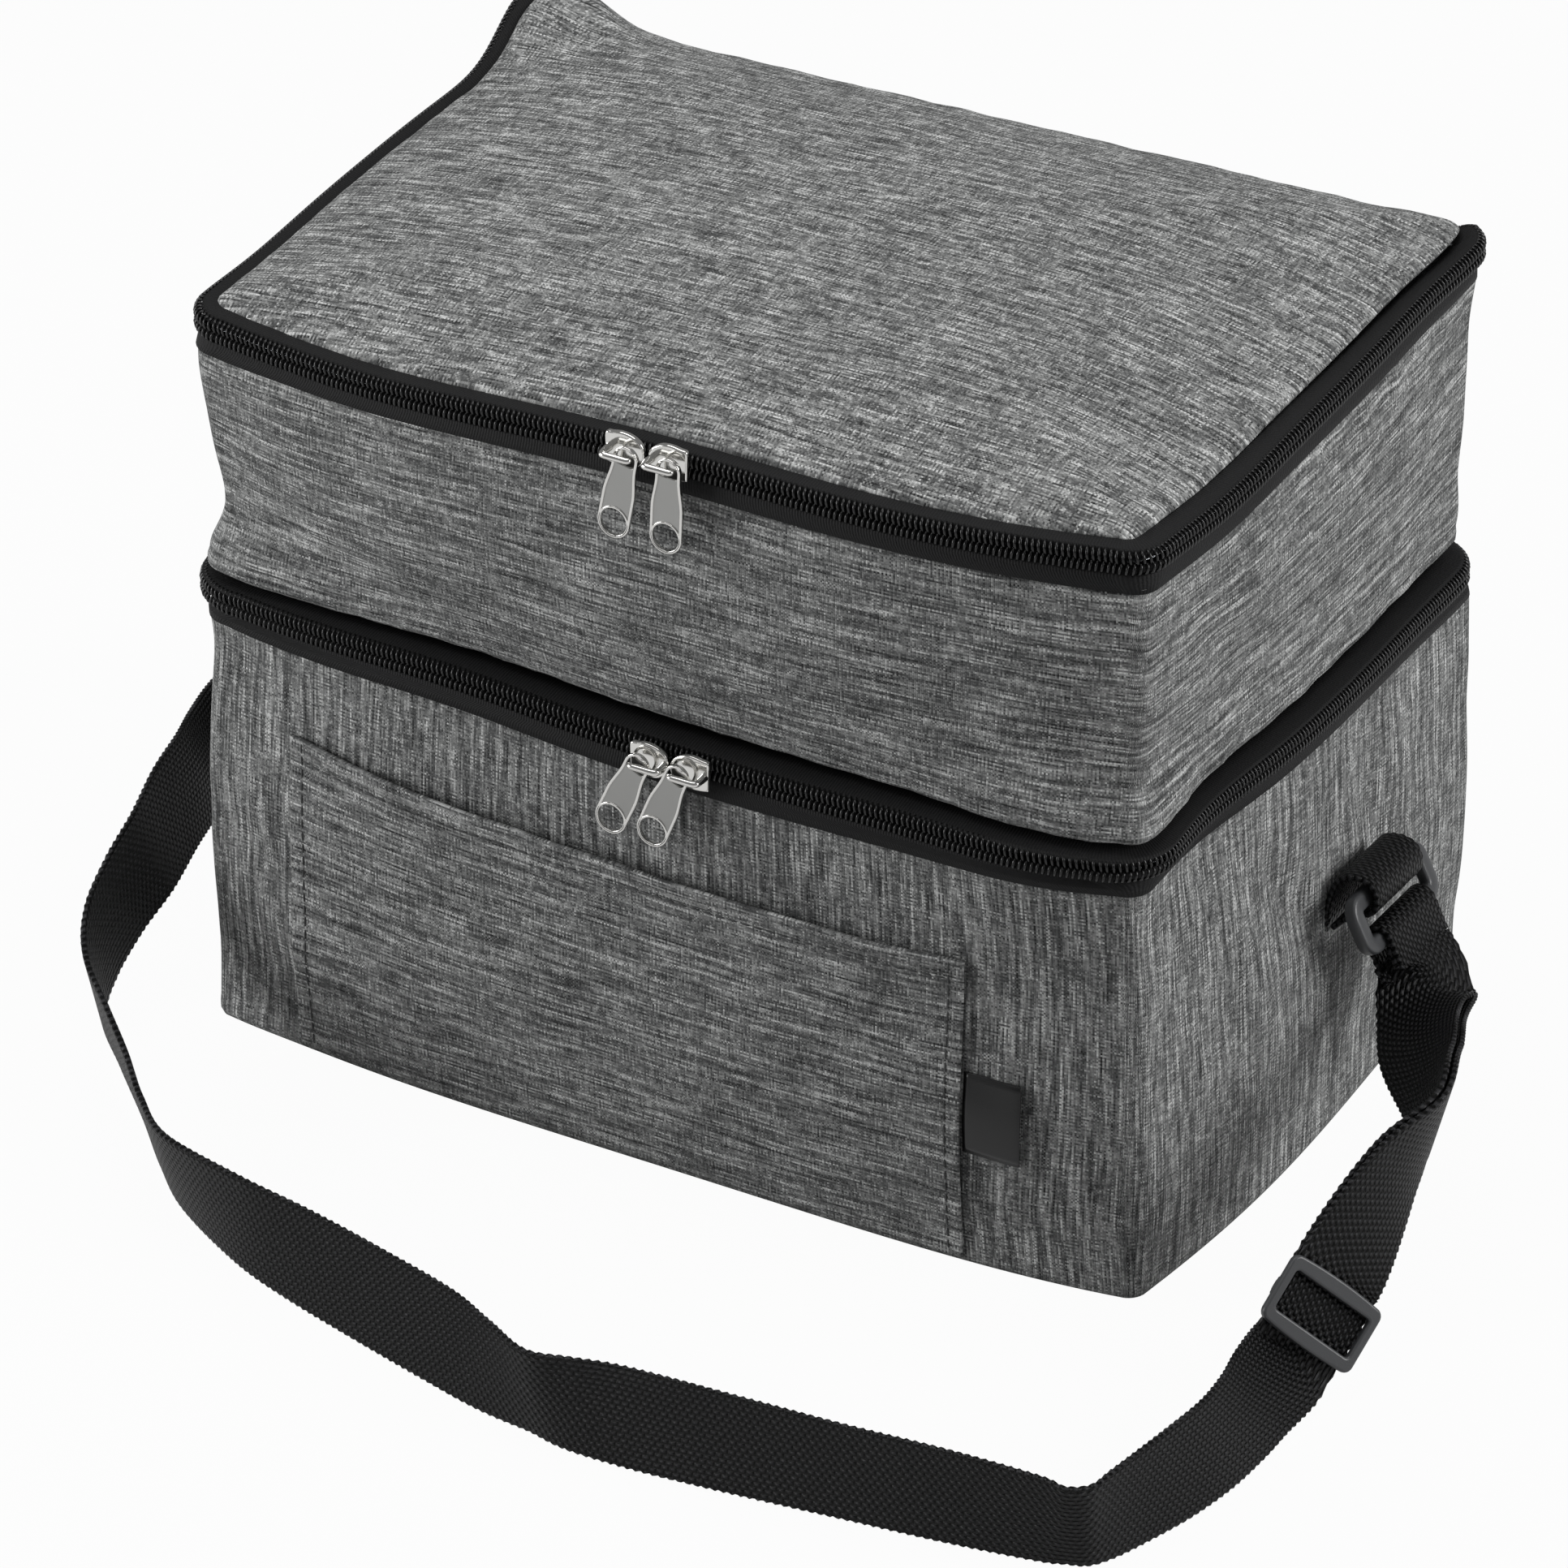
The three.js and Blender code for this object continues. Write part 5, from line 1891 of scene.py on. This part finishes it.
@dataclass(frozen=True)
class Ribbon:
    """A length of webbing with scalloped edges."""

    width: float = 25.0
    thick: float = 1.6
    scallop: float = 0.28
    pitch: float = 2.3
    step: float = 0.75

    def lay(self, cut: Cut, rows: Array) -> Array:
        """Lays webbing along rows of place and edge direction.

        Args:
            cut: Mesh to add to.
            rows: x, y, z and the direction across, mm.

        Returns:
            The middle line, mm.
        """
        path = even_path(rows, self.step)
        wave = self.scallop * np.sin(2 * math.pi * self.step * np.arange(len(path)) / self.pitch)
        sections = np.stack([webbing_section(self.width, self.thick, float(w)) for w in wave])
        cut.sweep(path[:, :3], path[:, 3:], sections)
        return path[:, :3]


@dataclass(frozen=True)
class Anchor:
    """A webbing tab on the side of the lower stage with the strap's ring in it."""

    hand: Hand
    y: float = RING_Y
    wall: float = 139.3
    foot: float = 62.0
    bar: tuple[float, float] = (150.0, 73.0)
    low_bar: tuple[float, float] = RING_LOW_BAR
    half: float = 17.6
    rod: float = 2.3
    corner: float = 3.0

    def build(self, finishes: Finishes) -> None:
        """Makes the tab and the ring.

        Args:
            finishes: The bag's materials.
        """
        side, word = self.hand.value, self.hand.name.lower()
        out, high = self.bar
        # Way out and height, from the foot up the wall, over the bar and back down to the foot.
        loop = np.array(
            [
                (self.wall + 0.9, self.foot),
                (self.wall + 1.2, 68),
                (self.wall + 4.0, high + 3.2),
                (out - 2.0, high + 5.4),
                (out + 2.6, high + 4.4),
                (out + 4.4, high + 0.6),
                (out + 3.0, high - 3.4),
                (self.wall + 7.0, high - 7.0),
                (self.wall + 2.8, self.foot),
            ]
        )
        line = through_points(loop, 10)
        rows = np.array([(side * x, self.y, z, 0.0, -float(side), 0.0) for x, z in line])
        cut = Cut()
        Ribbon().lay(cut, rows)
        tab = cut.make(f"tab_{word}_webbing", finishes.webbing)
        dress(tab, "black_webbing", "lower_compartment", f"strap_tab_{word}")
        self.ring(finishes)

    def ring(self, finishes: Finishes) -> None:
        """Makes the moulded ring, flat on its outer face.

        Args:
            finishes: The bag's materials.
        """
        side, word = self.hand.value, self.hand.name.lower()
        a = np.array([side * self.bar[0], self.y, self.bar[1]])
        b = np.array([side * self.low_bar[0], self.y, self.low_bar[1]])
        down = unit(b - a)
        middle, reach = (a + b) / 2, float(np.linalg.norm(b - a)) / 2
        quarter = self.corner * circle(np.radians(np.arange(0, 90, 15)))
        outline = []
        for k, sign in enumerate(((1, 1), (-1, 1), (-1, -1), (1, -1))):
            c, s = math.cos(k * math.pi / 2), math.sin(k * math.pi / 2)
            centre = np.array(sign) * np.array([self.half - self.corner, reach - self.corner])
            outline.append(centre + quarter @ np.array([[c, s], [-s, c]]))
        flat = np.concatenate(outline)
        flat = np.concatenate([flat, flat[:1]])
        dense = even_path(np.concatenate([flat, 0 * flat[:, :1]], axis=1), 1.0)[:-1]
        path = middle + dense[:, :1] * np.array([0.0, 1.0, 0.0]) + dense[:, 1:2] * down
        ahead = unit(np.roll(path, -1, axis=0) - np.roll(path, 1, axis=0))
        face = unit(np.cross(down, np.array([0.0, 1.0, 0.0])))
        over = np.cross(ahead, face)
        # A rounded square section, flatter through than across.
        ring_round = circle(np.arange(20) * math.pi / 10)
        section = np.sign(ring_round) * np.abs(ring_round) ** 0.5 * np.array([self.rod, self.rod * 0.82])
        net = path[:, None] + over[:, None] * section[:, :1] + face * section[:, 1:]
        cut = Cut()
        cut.grid(np.concatenate([net, net[:1]]), closed=True, flip=True)
        ring = cut.make(f"ring_{word}_moulding", finishes.plastic)
        weld = bmesh.new()
        weld.from_mesh(ring.data)
        bmesh.ops.remove_doubles(weld, verts=weld.verts, dist=1e-6)
        bmesh.ops.recalc_face_normals(weld, faces=weld.faces)
        weld.to_mesh(ring.data)
        weld.free()
        dress(ring, "black_plastic", f"ring_{word}", f"strap_ring_{word}")


@dataclass(frozen=True)
class ShoulderStrap:
    """Shoulder strap as it lies: from the left ring round the front to the adjuster and the right ring."""

    half: float = HALF_WIDTH
    front: float = 100.0
    slide: Point = GLIDE
    heading: Point = GLIDE_HEADING
    upper_edge: Point = GLIDE_UPPER_EDGE
    ribbon: Ribbon = Ribbon()
    # Way out from the side, y, z, and the direction to the upper edge.
    left_fall: Rows = (
        (34, 9, 50, -0.45, 0.75, 0.4),
        (37.5, 1, 44.5, -0.75, 0.4, 0.5),
        (39.5, -11, 41.5, -0.7, 0.2, 0.7),
        (38, -26, 41.5, -0.55, 0.1, 0.85),
        (33.5, -40, 43.5, -0.5, 0, 0.87),
        (28, -55, 46, -0.45, 0, 0.9),
        (23.5, -72, 46.3, -0.42, -0.1, 0.9),
        (19, -90, 43.8, -0.35, -0.15, 0.92),
        (17.4, -106, 39.5, -0.25, -0.2, 0.95),
        (14.8, -121, 34, -0.15, -0.25, 0.95),
        (8.8, -133.5, 28.6, 0, -0.3, 0.95),
        (-4, -144.5, 24, 0, -0.3, 0.95),
        (-17, -155, 19, -0.05, -0.28, 1),
        (-29, -166, 15, -0.1, -0.25, 1),
    )
    # x, way ahead of the front, z, and the direction to the upper edge.
    front_run: Rows = (
        (-92, 77, 13.2, -0.1, -0.2, 1),
        (-66, 88, 13.4, 0, 0.07, 1),
        (-45, 93.5, 13, 0.1, 0.25, 0.97),
        (-22, 99.5, 12.8, 0.1, 0.33, 0.95),
        (4, 106.7, 12.8, 0.1, 0.32, 0.95),
        (21, 113, 13.2, 0, 0.15, 1),
        (36, 117.6, 13.4, 0, -0.08, 1),
        (47, 117.3, 13.2, 0, 0.12, 1),
        (58, 115.4, 12.8, 0, 0.3, 0.95),
        (72, 114, 12.7, 0, 0.34, 0.94),
        (96, 112, 13, 0, 0.25, 0.97),
        (121, 109.5, 13.2, 0, 0.16, 1),
        (146, 106.5, 13.3, 0, 0.12, 1),
    )
    # Way out from the side, y, z, and the direction to the upper edge.
    right_fold: Rows = (
        (36, -203.7, 13.4, 0, -0.03, 1),
        (43, -203, 13.3, 0.05, -0.15, 1),
        (48, -200, 13.3, 0.07, -0.08, 1),
        (50.5, -193.4, 13.4, -0.03, 0, 1),
        (53, -183, 13.3, -0.13, 0.03, 1),
        (56, -168, 13.1, -0.25, 0.05, 0.97),
        (57.8, -154, 13, -0.32, -0.05, 0.94),
        (57.5, -140, 12.7, -0.4, -0.18, 0.9),
        (56, -126, 12.2, -0.5, -0.32, 0.8),
    )
    right_rise: Rows = (
        (60.5, -64.7, 42.5, -0.13, -0.49, 0.86),
        (62, -46.3, 48, 0.32, -0.46, 0.78),
        (52.8, -28.8, 46.8, 0.5, 0.02, 0.8),
        (41.2, -11.5, 45, 0.58, 0.46, 0.58),
        (34, 4, 44.8, 0.4, 0.85, 0.3),
        (28.5, 11.5, 47, 0.1, 1, 0.08),
    )
    bar: tuple[float, float] = RING_LOW_BAR
    bar_y: float = RING_Y
    down: tuple[float, float] = (0.438, -0.899)
    loop_radius: float = 3.4
    loop_leg: float = 9.0
    split: float = 7.0
    bulge: float = 0.9
    parts: int = 14
    # Way between the two layers at the adjuster, and how much further they part at the ring.
    layer_gap: float = 1.7
    layer_spread: float = 5.1

    def flat(self, along: float, out: float = 0.0) -> tuple[float, ...]:
        """Gives the strap's row in the adjuster.

        Args:
            along: Way past the adjuster's middle, mm.
            out: Way out through its window, mm.

        Returns:
            The place and the direction to the upper edge.
        """
        face = np.cross(self.heading, self.upper_edge)
        return (*(np.array(self.slide) + along * np.array(self.heading) + out * face), *self.upper_edge)

    def loop(self, hand: Hand) -> Array:
        """Gives the rows round a ring's lower bar.

        Args:
            hand: Which ring.

        Returns:
            Rows from the leg on the bag's side over the bar to the outer leg.
        """
        (bx, bz), (dx, dz) = self.bar, self.down
        face = (-dz, dx)
        bend = []
        for angle in np.radians(np.linspace(-90, 90, 9)):
            a, b = math.sin(angle) * self.loop_radius, -math.cos(angle) * self.loop_radius
            bend.append((bx + face[0] * a + dx * b, bz + face[1] * a + dz * b))
        inner, outer = ((x + dx * self.loop_leg, z + dz * self.loop_leg) for x, z in (bend[0], bend[-1]))
        line = [inner, *bend, outer]
        return np.array([(hand.value * x, self.bar_y, z, 0.0, 1.0, 0.0) for x, z in line])

    def build(self, finishes: Finishes) -> None:
        """Makes both runs of the strap.

        Args:
            finishes: The bag's materials.
        """
        strap, path = self.long_run(finishes)
        layers = self.short_runs(finishes)

    def long_run(self, finishes: Finishes) -> tuple[Piece, Array]:
        """Lays the single run from the left ring to the adjuster.

        Args:
            finishes: The bag's materials.

        Returns:
            The run and its middle line, mm.
        """
        rows = [(-self.half - o, y, z, *w) for o, y, z, *w in self.left_fall]
        rows += [(x, -self.front - a, z, *w) for x, a, z, *w in self.front_run]
        rows += [(self.half + o, y, z, *w) for o, y, z, *w in self.right_fold]
        rows += [self.flat(-14.0), self.flat(-8.5), self.flat(-2.5, self.bulge), self.flat(2.5, self.bulge)]
        rows += [self.flat(self.split)]
        loop = self.loop(Hand.LEFT)
        lead = through_points(np.array([loop[-1], *rows]), self.parts)
        cut = Cut()
        path = self.ribbon.lay(cut, np.concatenate([through_points(loop, 4)[:-1], lead]))
        strap = cut.make("strap_long_run", finishes.webbing)
        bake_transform(strap)
        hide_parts("shoulder_strap", "strap_loop_left")
        return strap, path

    def short_runs(self, finishes: Finishes) -> list[Piece]:
        """Lays the doubled run from the adjuster to the right ring and back.

        Args:
            finishes: The bag's materials.

        Returns:
            Its two layers.
        """
        loop = self.loop(Hand.RIGHT)
        rise = [(self.half + o, y, z, *w) for o, y, z, *w in self.right_rise]
        start = [self.flat(self.split), self.flat(15.0)]
        main = through_points(np.array([*start, *rise, loop[0]]), self.parts)
        ahead = unit(np.gradient(main[:, :3], axis=0))
        through = np.cross(ahead, unit(main[:, 3:]))
        # The layers part over the last six rows, to both sides of the ring's bar.
        share = np.clip(1 - np.arange(len(main))[::-1] / (6 * self.parts), 0, 1) ** 2
        second = main.copy()
        second[:, :3] -= unit(through) * (self.layer_gap + self.layer_spread * share)[:, None]
        first = np.concatenate([main[:-1], through_points(loop, 4)])
        layers = []
        for name, line, nodes in (
            ("strap_right_layer", first, ("strap_right_run", "strap_loop_right")),
            ("strap_return_layer", second, ("strap_return_run",)),
        ):
            cut = Cut()
            self.ribbon.lay(cut, line)
            strap = cut.make(name, finishes.webbing)
            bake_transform(strap)
            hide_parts(*nodes)
            layers.append(strap)
        return layers


@dataclass(frozen=True)
class Adjuster:
    """Three-bar slide on the strap, moulded in one piece."""

    at: Point = GLIDE
    heading: Point = GLIDE_HEADING
    upper_edge: Point = GLIDE_UPPER_EDGE
    across: float = 29.6
    along: float = 19.2
    window: tuple[float, float] = (24.4, 11.0)
    # Lower and upper faces over the strap's middle.
    frame_span: tuple[float, float] = (1.1, 3.3)
    bar_span: tuple[float, float] = (-2.7, -1.1)
    bar_inset: float = 3.4
    bar_deep: float = 4.0
    post: tuple[float, float] = (1.7, 5.0)
    post_inset: float = 2.6

    def rounded(self, wide: float, deep: float, radius: float, bow: float) -> Array:
        """Draws a rounded rectangle whose long sides bow out.

        Args:
            wide: Width across, mm.
            deep: Depth along, mm.
            radius: Corner radius, mm.
            bow: Way out at the middle of the long sides, mm.

        Returns:
            Closed outline, mm.
        """
        points = []
        flat, deep_half = wide / 2 - radius, deep / 2
        for k, (sx, sy) in enumerate(((1, 1), (-1, 1), (-1, -1), (1, -1))):
            corner = np.array([sx * flat, sy * (deep_half - radius)])
            points.extend(corner + radius * circle(np.radians(np.linspace(90 * k, 90 * k + 90, 7))))
            if k in (0, 2):
                for u in np.linspace(1, -1, 11)[1:-1] * sx:
                    points.append((u * flat, sy * (deep_half + bow * (1 - u**2))))
        return np.array(points)

    def plate(
        self, name: str, outlines: Sequence[Array], span: tuple[float, float], bevel: float, finish: Material
    ) -> Piece:
        """Lays a plate between two heights over the strap's middle.

        Args:
            name: Name of the piece.
            outlines: Outer outline and holes, mm.
            span: Its lower and upper face, mm.
            bevel: Edge radius, mm.
            finish: Its material.

        Returns:
            The plate.
        """
        ahead, across = Vector(self.heading), -Vector(self.upper_edge)
        face = across.cross(ahead)
        turn = Matrix((across, ahead, face)).transposed().to_4x4()
        place = Matrix.Translation((Vector(self.at) + face * (sum(span) / 2)) * MM) @ turn
        return flat_shape(name, outlines, span[1] - span[0], bevel, place, finish)

    def build(self, finishes: Finishes) -> None:
        """Makes the frame, the bar under the strap and the posts between them.

        Args:
            finishes: The bag's materials.
        """
        outer = self.rounded(self.across, self.along - 1.0, 2.4, 0.6)
        hole = self.rounded(*self.window, 0.9, 0.0)
        rim = self.plate("adjuster_frame", [outer, hole], self.frame_span, 0.7, finishes.plastic)
        dress(rim, "black_plastic", "adjuster", "strap_adjuster")
        below = self.rounded(self.across - self.bar_inset, self.bar_deep, 1.0, 0.0)
        bar = self.plate("adjuster_bar", [below], self.bar_span, 0.5, finishes.plastic)
        dress(bar, "black_plastic", "adjuster")
        # The posts reach a little into the bar and the frame.
        span = (self.bar_span[0] + 0.3, self.frame_span[0] + 0.6)
        for hand in Hand:
            shift = np.array([hand.value * (self.across / 2 - self.post_inset), 0.0])
            outline = self.rounded(*self.post, 0.5, 0.0) + shift
            name = f"adjuster_post_{hand.name.lower()}"
            post = self.plate(name, [outline], span, 0.3, finishes.plastic)
            dress(post, "black_plastic", "adjuster")


LOWER = Stage(
    "lower",
    "lower_compartment",
    floor=0.0,
    top=116.4,
    zip_height=LOWER_ZIP,
    swell=((0, -1.0), (1.5, -0.4), (5, -0.3), (14, 0.0), (44, 1.8), (80, 1.4), (104, 0.3), (116.4, -0.7)),
    bow=((0, 7.8), (20, 8.6), (44, 9.0), (88, 7.8), (116.4, 10.8)),
    way=Way.UP,
)
UPPER = Stage(
    "upper",
    "upper_compartment",
    floor=128.4,
    top=202.4,
    zip_height=UPPER_ZIP,
    swell=((128.4, -8.0), (129.6, -6.0), (135, -4.2), (150, -2.0), (180, 0.4), (194, 0.1), (202.4, -0.8)),
    bow=((128.4, 10.0), (160, 11.0), (202.4, 11.0)),
    way=Way.ROUND,
    rows=36,
)


def main() -> None:
    """Builds the whole bag and its studio."""
    logging.basicConfig(level=logging.INFO, format="%(name)s: %(message)s")
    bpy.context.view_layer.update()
    finishes = Finishes.mixed()
    Studio().build(finishes.floor)
    ShoulderStrap().build(finishes)
    Adjuster().build(finishes)
    form = SoftForm()
    lower_shell = LOWER.build(form, finishes)
    UPPER.build(form, finishes)
    Lid().build(form, finishes)
    for coil_zip in (
        CoilZip(
            "lower_zip",
            LOWER_ZIP,
            below="lower_compartment",
            above="upper_compartment",
            drop=8.2,
            lower_edge=0.4,
            reach=10.0,
            climb=4.4,
        ),
        CoilZip(
            "upper_zip",
            UPPER_ZIP,
            below="upper_compartment",
            above="lid",
            drop=8.2,
            lower_edge=0.4,
            reach=9.0,
            climb=2.6,
            radius=9.0,
            sag=4.2,
            tuck=6.0,
        ),
    ):
        coil_zip.build(form, finishes)
    for hinge in (
        ClothHinge(
            "lower_hinge_strip",
            below="lower_compartment",
            above="upper_compartment",
            bottom=101.5,
            line=LOWER_ZIP,
            top=145.5,
            leaves=("lower_hinge_leaf", "upper_base_leaf"),
        ),
        ClothHinge(
            "upper_hinge_strip",
            below="upper_compartment",
            above="lid",
            bottom=187.5,
            line=UPPER_ZIP,
            top=211.0,
            leaves=("upper_top_leaf", "lid_hinge_leaf"),
            sink=1.0,
        ),
    ):
        hinge.build(form, finishes)
    Pocket().build(lower_shell, finishes)
    for slider in (
        Slider("upper_left", -2.3, UPPER_ZIP, nose=1, hook=1, lean=11.0),
        Slider("upper_right", 9.7, UPPER_ZIP, nose=-1, hook=1, lean=2.5),
        Slider("lower_left", 4.0, LOWER_ZIP, nose=1, hook=-1, lean=24.0),
        Slider("lower_right", 15.4, LOWER_ZIP, nose=-1, hook=-1, lean=22.0),
    ):
        slider.build(finishes)
    for hand in Hand:
        Anchor(hand).build(finishes)
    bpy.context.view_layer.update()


if __name__ == "__main__":
    main()
